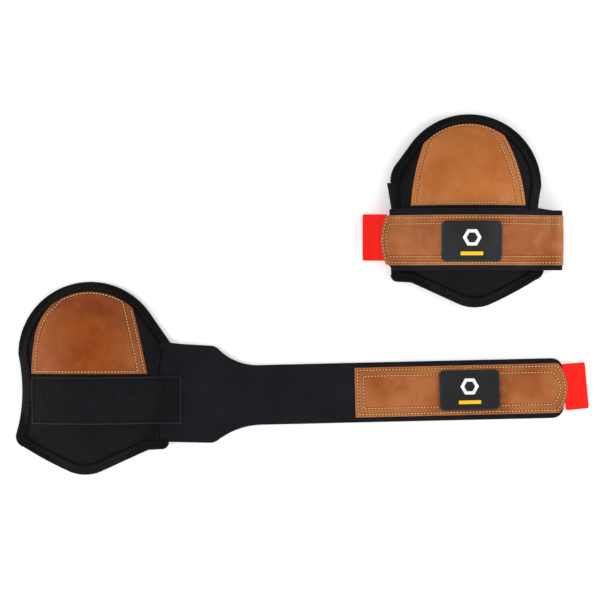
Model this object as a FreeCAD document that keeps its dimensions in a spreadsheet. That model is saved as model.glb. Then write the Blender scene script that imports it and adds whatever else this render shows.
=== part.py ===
import FreeCAD, Part
import os
import Sketcher
from FreeCAD import Placement, Rotation, Vector

# A pair of strapped knee pads, millimetres, +Z up, lying on the plane Z = 0.
# The open pad lies at the left with its strap laid out to the right; the fastened pad is its mirror
# image and lies at the upper right, with its strap folded round behind the cup and over the front.
# Both are drawn in a pad frame of their own: the origin is the centre of the round crown, +X points
# to the strap seam, Y runs up the leg and Z = 0 is the underside of the edge binding.

doc = FreeCAD.newDocument("knee_pads")

# ---------------------------------------------------------------- driving dimensions
DIMENSIONS = (
    # where the two pads lie, and how far the fastened pad stands on its own folded strap
    ("open_x", -228.45), ("open_y", -64.1),
    ("closed_x", 179.75), ("closed_y", 116.4), ("closed_lift", 6.0),
    # thickness of each material
    ("binding", 1.5), ("lining", 1.5), ("shell", 2.5), ("band", 4.0),
    ("leather", 1.2), ("loop", 1.8), ("hook", 1.5), ("gap", 0.3),
    ("patch", 2.5), ("print", 0.4), ("tab", 1.4),
    # outer face of the cup: a barrel with one radius across the knee and one along the leg
    ("top_across", 92.0), ("top_along", 152.0), ("top_crest", 45.5),
    # inner face of the cup
    ("cup_across", 101.5), ("cup_along", 182.0), ("cup_crest", 28.5),
    ("crest_x", -2.0), ("crest_y", -26.0), ("barrel_half", 132.0),
    # cup outline
    ("crown", 76.5), ("crown_end_x", 64.5), ("crown_end_y", 41.1),
    ("neck_x", -72.0), ("neck_y", -45.0),
    ("flare_x", -78.2), ("flare_y", -84.0),
    ("flare_mid_x", -78.3), ("flare_mid_y", -93.0),
    ("flare_end_x", -71.0), ("flare_end_y", -99.3),
    ("slope_x", -46.0), ("slope_y", -113.8),
    ("toe_start_x", -20.0), ("toe_start_y", -126.4),
    ("toe_x", -3.0), ("toe_y", -128.7),
    ("toe_end_x", 12.0), ("toe_end_y", -124.8),
    ("heel_x", 62.0), ("heel_y", -102.0),
    ("low_ear_start", 75.5), ("low_ear_x", 83.5), ("low_ear_y", -95.8),
    ("high_ear_x", 84.0), ("high_ear_y", 14.3),
    ("seam_low_x", 75.5), ("seam_low_y", -94.6),
    ("seam_mid_x", 72.2), ("seam_mid_y", -39.2),
    ("seam_high_x", 78.5), ("seam_high_y", 13.0),
    # edge binding: how far it stands out and how far it reaches in over the cup
    ("binding_out", 1.5), ("binding_in", 9.0),
    ("clear_x", 92.0), ("clear_y", -13.7),
    # leather cap over the upper half of the cup
    ("cap_low_y", -20.8), ("cap_left_x", -62.5), ("cap_right_x", 61.8),
    ("cap_lower_x", -61.7), ("cap_lower_y", -3.0), ("cap_kink_x", -59.8), ("cap_kink_y", 14.5),
    ("cap_side_x", -52.4), ("cap_side_y", 38.6), ("cap_slant_x", 54.3), ("cap_slant_y", 15.0),
    ("cap_top_x", 45.9), ("cap_top_y", 49.5), ("cap_far_x", -40.5), ("cap_far_y", 54.0),
    # loop panel across the lower half, run on past the seam
    ("loop_far_x", -62.5), ("loop_near_x", 98.0), ("loop_high_y", -24.2), ("loop_low_y", -75.0),
    # wing: the wide root of the strap, and its waist
    ("root_end_x", 100.0), ("root_end_high_y", 10.8), ("root_end_low_y", -95.2),
    ("wing_start_x", 105.0),
    ("corner_start_x", 130.5), ("corner_high_y", 9.0), ("corner_low_y", -95.8),
    ("corner_mid_x", 134.8), ("corner_mid_high_y", 7.8), ("corner_mid_low_y", -94.6),
    ("corner_end_x", 138.5), ("corner_end_high_y", 5.0), ("corner_end_low_y", -92.2),
    ("waist_mid_x", 158.0), ("waist_mid_high_y", -7.7), ("waist_mid_low_y", -81.5),
    ("waist_x", 184.0), ("waist_high_y", -11.8), ("waist_low_y", -76.3),
    # narrow strap of the open pad, in a frame of its own at the fold before the leather facing
    ("fold_x", 278.0), ("fold_y", -41.8), ("tilt", 1.33), ("fold_half", 5.0),
    ("strap_wide", 64.5), ("strap_end", 232.0), ("strap_corner", 12.0),
    ("facing_start", 7.5), ("facing_wide", 53.5), ("facing_shoulder", 229.2),
    ("facing_end", 236.4), ("facing_corner", 4.0),
    ("hook_start", 112.0), ("hook_end", 222.0), ("tape_wide", 50.0), ("tape_corner", 3.0),
    ("patch_place", 131.0), ("patch_long", 65.0), ("patch_wide", 43.3), ("patch_corner", 5.5),
    ("patch_edge", 0.7),
    # the printed mark: a plain ring and a bar
    ("ring_outer", 10.0), ("ring_inner", 6.0), ("ring_shift", 4.0),
    ("bar_long", 24.0), ("bar_wide", 4.0), ("bar_shift", -13.0),
    # pull tab, in a frame of its own at its hinge line
    ("tab_place", 238.2), ("tab_side", 1.0), ("tab_skew", 4.0), ("tab_wide", 50.0),
    ("tab_near", 2.5), ("tab_far", 19.4), ("tab_corner", 2.0),
    # fastened pad: the fold beside the seam, the bend on the far side and the strap over the front
    ("turn_x", 84.0), ("turn_inner", 0.85), ("turn_high_y", 4.0), ("turn_low_y", -94.0),
    ("bend_x", 92.0), ("front_y", -58.0), ("front_end", 88.5), ("bend_leather_end", -20.0),
    ("front_shoulder", 91.0), ("front_tip", 94.9),
    ("front_hook_start", -48.0), ("front_hook_end", 62.0),
    ("front_patch_x", 1.0), ("front_patch_y", -59.5),
    ("front_tab_place", 95.6), ("front_tab_side", 3.0),
    # sizes of the blocks that the layers are cut from
    ("block_half", 140.0), ("block_deep", 20.0), ("block_high", 90.0),
)

dims = doc.addObject("Spreadsheet::Sheet", "Dims")
for row, (alias, number) in enumerate(DIMENSIONS, start=1):
    dims.set("A%d" % row, alias)
    dims.set("B%d" % row, str(number))
    dims.setAlias("B%d" % row, alias)
doc.recompute()

OPEN = 1
CLOSED = -1
PREFIX = {OPEN: "open", CLOSED: "closed"}

# heights above the underside of the binding
LINING_LOW = "Dims.binding"
SHELL_LOW = "Dims.binding + Dims.lining"
FLANGE_TOP = "Dims.binding + Dims.lining + Dims.shell"


# ---------------------------------------------------------------- drawing helpers
def bind(item, **sizes):
    """Tie properties to expressions; a double underscore stands for a dot."""
    for name, expression in sizes.items():
        item.setExpression(name.replace("__", "."), expression)


def at(name, out="0", along=(0, 0)):
    """A named outline point, moved outward by a distance along a unit direction."""
    x = "Dims.%s_x + (%s) * %s" % (name, out, along[0])
    y = "Dims.%s_y + (%s) * %s" % (name, out, along[1])
    return x, y


def via(point):
    """Mark a point as one that an arc passes through."""
    return point[0], point[1], "via"


def mirrored(side, outline):
    """The outline for the given hand."""
    return [("%d * (%s)" % (side, item[0]),) + tuple(item[1:]) for item in outline]


def pin_point(sketch, geometry, end, x, y):
    """Hold one point of the sketch at two expressions."""
    for kind, expression in (("DistanceX", x), ("DistanceY", y)):
        value = float(sketch.evalExpression(expression))
        index = sketch.addConstraint(Sketcher.Constraint(kind, -1, 1, geometry, end, value))
        name = "%s_%d_%d" % (kind, geometry, end)
        sketch.renameConstraint(index, name)
        sketch.setExpression("Constraints." + name, expression)


def draw(sketch, outline):
    """Closed outline of (x, y) corners, with (x, y, "via") where an arc joins two corners."""
    spots = [Vector(float(sketch.evalExpression(item[0])), float(sketch.evalExpression(item[1])), 0)
             for item in outline]
    count = len(outline)
    corners = [index for index in range(count) if len(outline[index]) == 2]
    ends = []
    for position, first in enumerate(corners):
        last = corners[(position + 1) % len(corners)]
        middle = (first + 1) % count
        if middle == last:
            edge = sketch.addGeometry(Part.LineSegment(spots[first], spots[last]), False)
        else:
            arc = Part.Arc(spots[first], spots[middle], spots[last])
            edge = sketch.addGeometry(arc, False)
            mark = sketch.addGeometry(Part.Point(spots[middle]), True)
            sketch.addConstraint(Sketcher.Constraint("PointOnObject", mark, 1, edge))
            pin_point(sketch, mark, 1, outline[middle][0], outline[middle][1])
        forward = sketch.getPoint(edge, 1).distanceToPoint(spots[first]) < 1e-4
        ends.append((edge, 1 if forward else 2, 2 if forward else 1))
    for position, (edge, start, _) in enumerate(ends):
        before, _, finish = ends[position - 1]
        sketch.addConstraint(Sketcher.Constraint("Coincident", before, finish, edge, start))
        corner = outline[corners[position]]
        pin_point(sketch, edge, start, corner[0], corner[1])


def rectangle(low_x, high_x, low_y, high_y):
    """Corners of a rectangle."""
    return [(low_x, low_y), (high_x, low_y), (high_x, high_y), (low_x, high_y)]


def place(item, frame):
    """Set the placement of a piece by the frame that it is drawn in."""
    bind(item, **frame)
    return item


def plate(name, outline, low, thick, frame):
    """Flat piece: an outline on the XY plane, raised to a height and given a thickness."""
    body = doc.addObject("PartDesign::Body", name)
    plane = [item for item in body.Origin.OriginFeatures if item.Role == "XY_Plane"][0]
    sketch = body.newObject("Sketcher::SketchObject", name + "_outline")
    sketch.AttachmentSupport = [(plane, "")]
    sketch.MapMode = "FlatFace"
    bind(sketch, AttachmentOffset__Base__z=low)
    draw(sketch, outline)
    pad = body.newObject("PartDesign::Pad", name + "_pad")
    pad.Profile = sketch
    bind(pad, Length=thick)
    place(body, frame)
    doc.recompute()
    return body


def round_edges(body, radius, chosen):
    """Round the edges of a flat piece that the test picks."""
    base = body.Tip
    names = ["Edge%d" % (index + 1) for index, edge in enumerate(base.Shape.Edges) if chosen(edge)]
    fillet = body.newObject("PartDesign::Fillet", body.Name + "_radius" + str(len(body.Group)))
    fillet.Base = (base, names)
    bind(fillet, Radius=radius)
    body.Tip = fillet
    doc.recompute()
    return body


def upright(edge):
    """True for an edge that runs straight up."""
    first, last = edge.Vertexes[0].Point, edge.Vertexes[-1].Point
    return abs(first.z - last.z) > 0.1 and abs(first.x - last.x) + abs(first.y - last.y) < 1e-6


def upright_beyond(limit):
    """Test for upright edges that lie further along X than a limit."""
    return lambda edge: upright(edge) and edge.Vertexes[0].Point.x > limit


# ---------------------------------------------------------------- frames
def pad_frame(side):
    """Frame of a whole pad."""
    name = PREFIX[side]
    lift = "Dims.closed_lift" if side == CLOSED else "0"
    return {
        "Placement__Base__x": "Dims.%s_x" % name,
        "Placement__Base__y": "Dims.%s_y" % name,
        "Placement__Base__z": lift,
    }


def turned_frame(x, y, z, angle):
    """Frame turned about the vertical."""
    return {
        "Placement__Base__x": x,
        "Placement__Base__y": y,
        "Placement__Base__z": z,
        "Placement__Rotation__Angle": angle,
    }


STRAP_FRAME = turned_frame("Dims.open_x + Dims.fold_x", "Dims.open_y + Dims.fold_y", "0", "Dims.tilt")
TAB_X = "Dims.open_x + Dims.fold_x + Dims.tab_place * cos(Dims.tilt) - Dims.tab_side * sin(Dims.tilt)"
TAB_Y = "Dims.open_y + Dims.fold_y + Dims.tab_place * sin(Dims.tilt) + Dims.tab_side * cos(Dims.tilt)"
TAB_FRAME = turned_frame(TAB_X, TAB_Y, "0", "Dims.tilt + Dims.tab_skew")


# ---------------------------------------------------------------- outlines, in the pad frame
def lower_edge(out):
    """From the left of the crown down the neck, round the flare and along to the heel."""
    return [
        ("-(Dims.crown + (%s))" % out, "0"),
        via(at("neck", out, (-1, 0))),
        at("flare", out, (-1, 0)),
        via(at("flare_mid", out, (-0.87, -0.5))),
        at("flare_end", out, (-0.45, -0.89)),
        via(at("slope", out, (-0.46, -0.89))),
        at("toe_start", out, (-0.35, -0.94)),
        via(at("toe", out, (0.05, -1))),
        at("toe_end", out, (0.42, -0.91)),
        at("heel", out, (0.3, -0.95)),
    ]


def crown_edge(out):
    """From the right end of the crown over its top."""
    return [at("crown_end", out, (0.843, 0.537)), via(("0", "Dims.crown + (%s)" % out))]


def cup_outline(out="0"):
    """Outer edge of the cup; along the seam it stays put when the rest moves outward."""
    return crown_edge(out) + lower_edge(out) + [
        ("Dims.low_ear_start", "Dims.heel_y + 0.7 - (%s)" % out),
        at("low_ear", out, (1, -0.2)),
        at("seam_low"),
        via(at("seam_mid")),
        at("seam_high"),
        at("high_ear", out, (1, 0.2)),
    ]


def binding_inner_outline():
    """Inner edge of the binding, run out past the seam so that the seam stays free."""
    inward = "-Dims.binding_in"
    return crown_edge(inward) + lower_edge(inward) + [
        ("Dims.clear_x", "Dims.heel_y + 0.95 * Dims.binding_in"),
        ("Dims.clear_x", "Dims.clear_y"),
    ]


def cap_outline():
    """Leather cap: straight lower edge, kinked outer side, slanting seam side, round top."""
    return [
        ("Dims.cap_left_x", "Dims.cap_low_y"),
        ("Dims.cap_right_x", "Dims.cap_low_y"),
        via(at("cap_slant")),
        ("Dims.cap_top_x", "Dims.cap_top_y"),
        via(("0", "Dims.crown - Dims.binding_in")),
        at("cap_far"),
        via(at("cap_side")),
        at("cap_kink"),
        via(at("cap_lower")),
    ]


def wing_outline(start, high, low, shift, end_high, end_low):
    """Wing from a start line through its waist to the end of the narrow part."""
    def moved(name, y):
        return "Dims.%s_x - (%s)" % (name, shift), "Dims.%s_y" % y

    return [
        (start, low),
        moved("corner_start", "corner_low"),
        via(moved("corner_mid", "corner_mid_low")),
        moved("corner_end", "corner_end_low"),
        via(moved("waist_mid", "waist_mid_low")),
        moved("waist", "waist_low"),
        end_low,
        end_high,
        moved("waist", "waist_high"),
        via(moved("waist_mid", "waist_mid_high")),
        moved("corner_end", "corner_end_high"),
        via(moved("corner_mid", "corner_mid_high")),
        moved("corner_start", "corner_high"),
        (start, high),
    ]


def facing_outline(start, shoulder, tip, middle="0"):
    """Leather facing with a round end."""
    low = "%s - Dims.facing_wide / 2" % middle
    high = "%s + Dims.facing_wide / 2" % middle
    return [(start, low), (shoulder, low), via((tip, middle)), (shoulder, high), (start, high)]


def hexagon(radius, x, y):
    """Six corners round a centre."""
    return [("%s + (%s) * cos(%d)" % (x, radius, 60 * turn), "%s + (%s) * sin(%d)" % (y, radius, 60 * turn))
            for turn in range(6)]


# ---------------------------------------------------------------- domed layers
def plain_prism(name, outline, low="0"):
    """Column over an outline, from a height to well above the cup."""
    sketch = doc.addObject("Sketcher::SketchObject", name + "_outline")
    draw(sketch, outline)
    column = doc.addObject("Part::Extrusion", name)
    column.Base = sketch
    column.DirMode = "Custom"
    column.Dir = Vector(0, 0, 1)
    column.Solid = True
    bind(sketch, Placement__Base__z=low)
    bind(column, LengthFwd="Dims.block_high")
    return column


def barrel(side, face, offset):
    """Barrel whose top is the outer or inner face of the cup, moved outward by an offset."""
    name = "%s_%s_barrel_%d" % (PREFIX[side], face, len(doc.Objects))
    along = "(Dims.%s_along + %s)" % (face, offset)
    across = "(Dims.%s_across + %s)" % (face, offset)
    crest = "(Dims.%s_crest + %s)" % (face, offset)
    near = "Dims.crest_y - Dims.barrel_half"
    far = "Dims.crest_y + Dims.barrel_half"
    rim = "%s - %s + sqrt(%s * %s - Dims.barrel_half * Dims.barrel_half)" % (crest, along, along, along)
    axis = "%s - %s" % (crest, across)
    sketch = doc.addObject("Sketcher::SketchObject", name + "_profile")
    sketch.Placement = Placement(Vector(), Rotation(Vector(0, 1, 0), Vector(0, 0, 1), Vector(1, 0, 0), "XYZ"))
    draw(sketch, [(near, axis), (far, axis), (far, rim), via(("Dims.crest_y", crest)), (near, rim)])
    bind(sketch, Placement__Base__x="%d * Dims.crest_x" % side)
    solid = doc.addObject("Part::Revolution", name)
    solid.Source = sketch
    solid.Axis = Vector(0, 1, 0)
    solid.Angle = 360
    solid.Solid = True
    bind(solid, Base__x="%d * Dims.crest_x" % side, Base__z=axis)
    return solid


def slab(name, level):
    """Block that fills everything below a height."""
    block = doc.addObject("Part::Box", name)
    bind(
        block,
        Length="2 * Dims.block_half",
        Width="2 * Dims.block_half",
        Height="Dims.block_deep + (%s)" % level,
        Placement__Base__x="-Dims.block_half",
        Placement__Base__y="-Dims.block_half",
        Placement__Base__z="-Dims.block_deep",
    )
    return block


grounds = {}


def ground(side, face, offset, level):
    """Everything below the cup's face and below the flange, both moved by an offset."""
    key = (side, face, offset, level)
    if key not in grounds:
        name = "%s_ground_%d" % (PREFIX[side], len(doc.Objects))
        joined = doc.addObject("Part::Fuse", name)
        joined.Base = barrel(side, face, offset)
        joined.Tool = slab(name + "_slab", level)
        grounds[key] = joined
    return grounds[key]


def over_cup(side, offset):
    """Ground under a layer that lies a distance outside the shell, on the dome and the flange."""
    return ground(side, "top", "(%s)" % offset, "%s + (%s)" % (FLANGE_TOP, offset))


def combine(kind, name, base, tool):
    """Boolean of two shapes."""
    result = doc.addObject(kind, name)
    result.Base = base
    result.Tool = tool
    return result


def layer(name, area, upper, lower):
    """The part of a column between two grounds."""
    return combine("Part::Cut", name, combine("Part::Common", name + "_body", area, upper), lower)


def domed_piece(side, node, outline, low, high, frame):
    """Piece of even thickness that follows the outside of the cup."""
    name = "%s_%s" % (PREFIX[side], node)
    area = plain_prism(name + "_area", outline)
    return place(layer(name, area, over_cup(side, high), over_cup(side, low)), frame)


def bend(name, x, z, inner, thick, end, middle, wide, frame):
    """Piece bent round a line along Y, from the top round to an end angle; x tells the way it bulges."""
    outer = "(%s + %s)" % (inner, thick)
    way = -1 if x.startswith("-") else 1

    def spot(radius, angle):
        return "%s + %d * %s * cos(%s)" % (x, way, radius, angle), "%s + %s * sin(%s)" % (z, radius, angle)

    half = "(90 + %s) / 2" % end
    sketch = doc.addObject("Sketcher::SketchObject", name + "_profile")
    sketch.Placement = Placement(Vector(), Rotation(Vector(1, 0, 0), 90))
    draw(sketch, [spot(outer, "90"), via(spot(outer, half)), spot(outer, end),
                  spot(inner, end), via(spot(inner, half)), spot(inner, "90")])
    bind(sketch, Placement__Base__y=middle)
    piece = doc.addObject("Part::Extrusion", name)
    piece.Base = sketch
    piece.DirMode = "Custom"
    piece.Dir = Vector(0, 1, 0)
    piece.Solid = True
    piece.Symmetric = True
    bind(piece, LengthFwd=wide)
    return place(piece, frame)


# ---------------------------------------------------------------- the cup, once for each hand
def make_cup(side):
    """Lining, foam core, shell, edge binding and leather cap of one pad."""
    name = PREFIX[side]
    frame = pad_frame(side)
    inside = ground(side, "cup", "0", LINING_LOW)
    lining_top = ground(side, "cup", "Dims.lining", SHELL_LOW)
    shell_inside = ground(side, "top", "-Dims.shell", SHELL_LOW)
    outside = over_cup(side, "0")
    area = plain_prism(name + "_cup_area", mirrored(side, cup_outline()))

    lining = place(layer(name + "_lining", area, lining_top, inside), frame)
    foam = place(layer(name + "_foam_core", area, shell_inside.Base, lining_top), frame)
    shell = place(layer(name + "_outer_shell", area, outside, shell_inside), frame)

    cup = layer(name + "_whole_cup", area, outside, inside)
    wrap_area = plain_prism(name + "_binding_area", mirrored(side, cup_outline("Dims.binding_out")))
    wrap = layer(name + "_binding_block", wrap_area, over_cup(side, "Dims.binding"),
                 ground(side, "cup", "-Dims.binding", "0"))
    ring = combine("Part::Cut", name + "_binding_wrap", wrap, cup)
    hole = plain_prism(name + "_binding_hole", mirrored(side, binding_inner_outline()), "-Dims.block_deep")
    binding = place(combine("Part::Cut", name + "_edge_binding", ring, hole), frame)

    cap = domed_piece(side, "leather_cap", mirrored(side, cap_outline()), "0", "Dims.leather", frame)
    return [lining, foam, shell, binding, cap]


def wing_root(side, end_x, high, low):
    """Flat neoprene between the seam and the first fold."""
    outline = [at("seam_low"), (end_x, low), (end_x, high), at("seam_high"), via(at("seam_mid"))]
    return plate(PREFIX[side] + "_wing_root", mirrored(side, outline), "Dims.binding", "Dims.band",
                 pad_frame(side))


# ---------------------------------------------------------------- the open pad's strap
def make_open_strap():
    """Loop panel, wing, strap, facing, tape, patch and pull tab, laid out flat."""
    pad = pad_frame(OPEN)
    root = wing_root(OPEN, "Dims.root_end_x", "Dims.root_end_high_y", "Dims.root_end_low_y")
    panel = rectangle("Dims.loop_far_x", "Dims.loop_near_x", "Dims.loop_low_y", "Dims.loop_high_y")
    loop = domed_piece(OPEN, "loop_panel", panel, "0", "Dims.loop", pad)

    crease = rectangle("Dims.root_end_x", "Dims.wing_start_x", "Dims.root_end_low_y",
                       "Dims.root_end_high_y")
    wing_fold = plate("open_wing_fold", crease, "Dims.binding", "Dims.band", pad)

    def strap_corner(way):
        return (
            "Dims.fold_x - Dims.fold_half * cos(Dims.tilt) - %d * Dims.strap_wide / 2 * sin(Dims.tilt)" % way,
            "Dims.fold_y - Dims.fold_half * sin(Dims.tilt) + %d * Dims.strap_wide / 2 * cos(Dims.tilt)" % way,
        )

    outline = wing_outline("Dims.wing_start_x", "Dims.root_end_high_y", "Dims.root_end_low_y", "0",
                           strap_corner(1), strap_corner(-1))
    wing = plate("open_wing", outline, "Dims.binding", "Dims.band", pad)

    half = "Dims.strap_wide / 2"
    crease = rectangle("-Dims.fold_half", "Dims.fold_half", "-" + half, half)
    strap_fold = plate("open_strap_fold", crease, "Dims.binding", "Dims.band", STRAP_FRAME)
    outline = rectangle("Dims.fold_half", "Dims.strap_end", "-" + half, half)
    strap = plate("open_strap", outline, "Dims.binding", "Dims.band", STRAP_FRAME)
    round_edges(strap, "Dims.strap_corner", upright_beyond(dims.strap_end - 1))

    facing = plate("open_strap_facing",
                   facing_outline("Dims.facing_start", "Dims.facing_shoulder", "Dims.facing_end"),
                   FLANGE_TOP, "Dims.leather", STRAP_FRAME)
    round_edges(facing, "Dims.facing_corner", upright_beyond(dims.facing_shoulder - 1))

    tape_half = "Dims.tape_wide / 2"
    outline = rectangle("Dims.hook_start", "Dims.hook_end", "-" + tape_half, tape_half)
    tape = plate("open_hook_tape", outline, "0", "Dims.hook", STRAP_FRAME)
    round_edges(tape, "Dims.tape_corner", upright)

    patch_low = FLANGE_TOP + " + Dims.leather"
    outline = rectangle("Dims.patch_place - Dims.patch_long / 2", "Dims.patch_place + Dims.patch_long / 2",
                        "-Dims.patch_wide / 2", "Dims.patch_wide / 2")
    patch = plate("open_patch", outline, patch_low, "Dims.patch", STRAP_FRAME)
    round_edges(patch, "Dims.patch_corner", upright)
    top = max(vertex.Point.z for vertex in patch.Tip.Shape.Vertexes)
    round_edges(patch, "Dims.patch_edge", lambda edge: edge.CenterOfMass.z > top - 1e-6)

    print_low = patch_low + " + Dims.patch"
    ring = plate("open_patch_ring", hexagon("Dims.ring_outer", "Dims.patch_place", "Dims.ring_shift"),
                 print_low, "Dims.print", STRAP_FRAME)
    cut_hexagon(ring, hexagon("Dims.ring_inner", "Dims.patch_place", "Dims.ring_shift"), print_low)
    outline = rectangle("Dims.patch_place - Dims.bar_long / 2", "Dims.patch_place + Dims.bar_long / 2",
                        "Dims.bar_shift - Dims.bar_wide / 2", "Dims.bar_shift + Dims.bar_wide / 2")
    bar = plate("open_patch_bar", outline, print_low, "Dims.print", STRAP_FRAME)

    tab_low = FLANGE_TOP + " - Dims.tab"
    tab_half = "Dims.tab_wide / 2"

    def strap_end_at(way):
        return "(Dims.strap_end - Dims.tab_place + %d * %s * sin(Dims.tab_skew)) / cos(Dims.tab_skew)" % (
            way, tab_half)

    outline = [(strap_end_at(-1), "-" + tab_half), ("Dims.tab_near", "-" + tab_half),
               ("Dims.tab_near", tab_half), (strap_end_at(1), tab_half)]
    tab_root = plate("open_tab_root", outline, tab_low, "Dims.tab", TAB_FRAME)
    tab = plate("open_pull_tab", rectangle("Dims.tab_near", "Dims.tab_far", "-" + tab_half, tab_half),
                tab_low, "Dims.tab", TAB_FRAME)
    round_edges(tab, "Dims.tab_corner", upright_beyond(dims.tab_far - 1))
    return [root, loop, wing_fold, wing, strap_fold, strap, facing, tape, patch, ring, bar, tab_root, tab]


def cut_hexagon(body, outline, low):
    """Open the middle of a plate."""
    plane = [item for item in body.Origin.OriginFeatures if item.Role == "XY_Plane"][0]
    sketch = body.newObject("Sketcher::SketchObject", body.Name + "_hole_outline")
    sketch.AttachmentSupport = [(plane, "")]
    sketch.MapMode = "FlatFace"
    bind(sketch, AttachmentOffset__Base__z=low)
    draw(sketch, outline)
    before = body.Shape.Volume
    pocket = body.newObject("PartDesign::Pocket", body.Name + "_hole")
    pocket.Profile = sketch
    pocket.Reversed = True
    bind(pocket, Length="Dims.print")
    body.Tip = pocket
    doc.recompute()
    assert body.Shape.Volume < before - 1


# ---------------------------------------------------------------- the fastened pad's strap
def make_closed_strap():
    """The same pieces on the other hand, folded behind the cup and fastened across its front."""
    pad = pad_frame(CLOSED)
    turn_high = "Dims.turn_high_y"
    turn_low = "Dims.turn_low_y"
    turn_outer = "(Dims.turn_inner + Dims.band)"
    turn_z = "(Dims.binding - Dims.turn_inner)"
    turn_mid = "(%s + %s) / 2" % (turn_high, turn_low)
    turn_wide = "%s - %s" % (turn_high, turn_low)
    root = wing_root(CLOSED, "Dims.turn_x", turn_high, turn_low)
    fold = bend("closed_wing_fold", "-Dims.turn_x", turn_z, "Dims.turn_inner", "Dims.band", "-90",
                turn_mid, turn_wide, pad)

    # loop panel: over the cup and the wing root, then round the fold
    outline = rectangle("Dims.loop_far_x", "Dims.turn_x", "Dims.loop_low_y", "Dims.loop_high_y")
    area = plain_prism("closed_loop_area", mirrored(CLOSED, outline))
    front = layer("closed_loop_front", area, over_cup(CLOSED, "Dims.loop"), over_cup(CLOSED, "0"))
    wrap = bend("closed_loop_wrap", "-Dims.turn_x", turn_z, turn_outer, "Dims.loop", "-90",
                "(Dims.loop_low_y + Dims.loop_high_y) / 2", "Dims.loop_high_y - Dims.loop_low_y", {})
    loop = place(combine("Part::Fuse", "closed_loop_panel", front, wrap), pad)

    # behind the cup: the wing again, then the narrow strap, down to the far bend
    under_z = "(Dims.binding - 2 * Dims.turn_inner - Dims.band)"
    shift = "2 * Dims.turn_x + pi * (Dims.turn_inner + Dims.band / 2)"
    half = "Dims.strap_wide / 2"
    outline = wing_outline("-Dims.turn_x", turn_high, turn_low, shift,
                           ("Dims.bend_x", "Dims.front_y + " + half),
                           ("Dims.bend_x", "Dims.front_y - " + half))
    under = plate("closed_under_strap", outline, under_z, "Dims.band", pad)

    # far bend, from behind the cup to the front
    band_low = "(Dims.loop + Dims.gap + Dims.hook)"
    band_high = "(%s + Dims.band)" % band_low
    facing_high = "(%s + Dims.leather)" % band_high
    patch_high = "(%s + Dims.patch)" % facing_high
    print_high = "(%s + Dims.print)" % patch_high
    front_low = "(%s + %s)" % (FLANGE_TOP, band_low)
    bend_z = "(%s + %s + Dims.band) / 2" % (front_low, under_z)
    bend_inner = "(%s - %s - Dims.band) / 2" % (front_low, under_z)
    strap_bend = bend("closed_strap_bend", "Dims.bend_x", bend_z, bend_inner, "Dims.band", "-90",
                      "Dims.front_y", "Dims.strap_wide", pad)
    facing_bend = bend("closed_facing_bend", "Dims.bend_x", bend_z, "(%s + Dims.band)" % bend_inner,
                       "Dims.leather", "Dims.bend_leather_end", "Dims.front_y", "Dims.facing_wide", pad)

    # strap over the front of the cup, with its facing, hook tape, patch and print
    low = "Dims.front_y - " + half
    high = "Dims.front_y + " + half
    cut = "Dims.strap_corner"
    slant = "Dims.strap_corner * (1 - sqrt(0.5))"
    outline = [
        ("Dims.bend_x", low), ("-Dims.front_end + " + cut, low),
        via(("-Dims.front_end + " + slant, low + " + " + slant)),
        ("-Dims.front_end", low + " + " + cut), ("-Dims.front_end", high + " - " + cut),
        via(("-Dims.front_end + " + slant, high + " - " + slant)),
        ("-Dims.front_end + " + cut, high), ("Dims.bend_x", high),
    ]
    strap = domed_piece(CLOSED, "front_strap", outline, band_low, band_high, pad)
    outline = facing_outline("Dims.bend_x", "-Dims.front_shoulder", "-Dims.front_tip", "Dims.front_y")
    facing = domed_piece(CLOSED, "strap_facing", outline, band_high, facing_high, pad)
    tape_half = "Dims.tape_wide / 2"
    outline = rectangle("-Dims.front_hook_end", "-Dims.front_hook_start", "Dims.front_y - " + tape_half,
                        "Dims.front_y + " + tape_half)
    tape = domed_piece(CLOSED, "hook_tape", outline, "Dims.loop + Dims.gap", band_low, pad)

    px, py = "Dims.front_patch_x", "Dims.front_patch_y"
    outline = rounded("%s - Dims.patch_long / 2" % px, "%s + Dims.patch_long / 2" % px,
                      "%s - Dims.patch_wide / 2" % py, "%s + Dims.patch_wide / 2" % py,
                      "Dims.patch_corner")
    patch = domed_piece(CLOSED, "patch", outline, facing_high, patch_high, pad)
    ring_y = py + " + Dims.ring_shift"
    outer = plain_prism("closed_ring_area", hexagon("Dims.ring_outer", px, ring_y))
    inner = plain_prism("closed_ring_hole", hexagon("Dims.ring_inner", px, ring_y), "-Dims.block_deep")
    disc = layer("closed_ring_disc", outer, over_cup(CLOSED, print_high), over_cup(CLOSED, patch_high))
    ring = place(combine("Part::Cut", "closed_patch_ring", disc, inner), pad)
    outline = rectangle("%s - Dims.bar_long / 2" % px, "%s + Dims.bar_long / 2" % px,
                        "%s + Dims.bar_shift - Dims.bar_wide / 2" % py,
                        "%s + Dims.bar_shift + Dims.bar_wide / 2" % py)
    bar = domed_piece(CLOSED, "patch_bar", outline, patch_high, print_high, pad)

    # pull tab at the free end
    tab_low = "%s + %s - Dims.tab" % (FLANGE_TOP, band_high)
    tab_y = "(Dims.front_y + Dims.front_tab_side)"
    tab_half = "Dims.tab_wide / 2"
    near = "-(Dims.front_tab_place + Dims.tab_near)"
    outline = rectangle(near, "-Dims.front_end", tab_y + " - " + tab_half, tab_y + " + " + tab_half)
    tab_root = plate("closed_tab_root", outline, tab_low, "Dims.tab", pad)
    outline = rectangle("-(Dims.front_tab_place + Dims.tab_far)", near, tab_y + " - " + tab_half,
                        tab_y + " + " + tab_half)
    tab = plate("closed_pull_tab", outline, tab_low, "Dims.tab", pad)
    limit = dims.front_tab_place + dims.tab_far - 1
    round_edges(tab, "Dims.tab_corner", lambda edge: upright(edge) and edge.Vertexes[0].Point.x < -limit)
    return [root, fold, loop, under, strap_bend, facing_bend, strap, facing, tape, patch, ring, bar,
            tab_root, tab]


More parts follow.
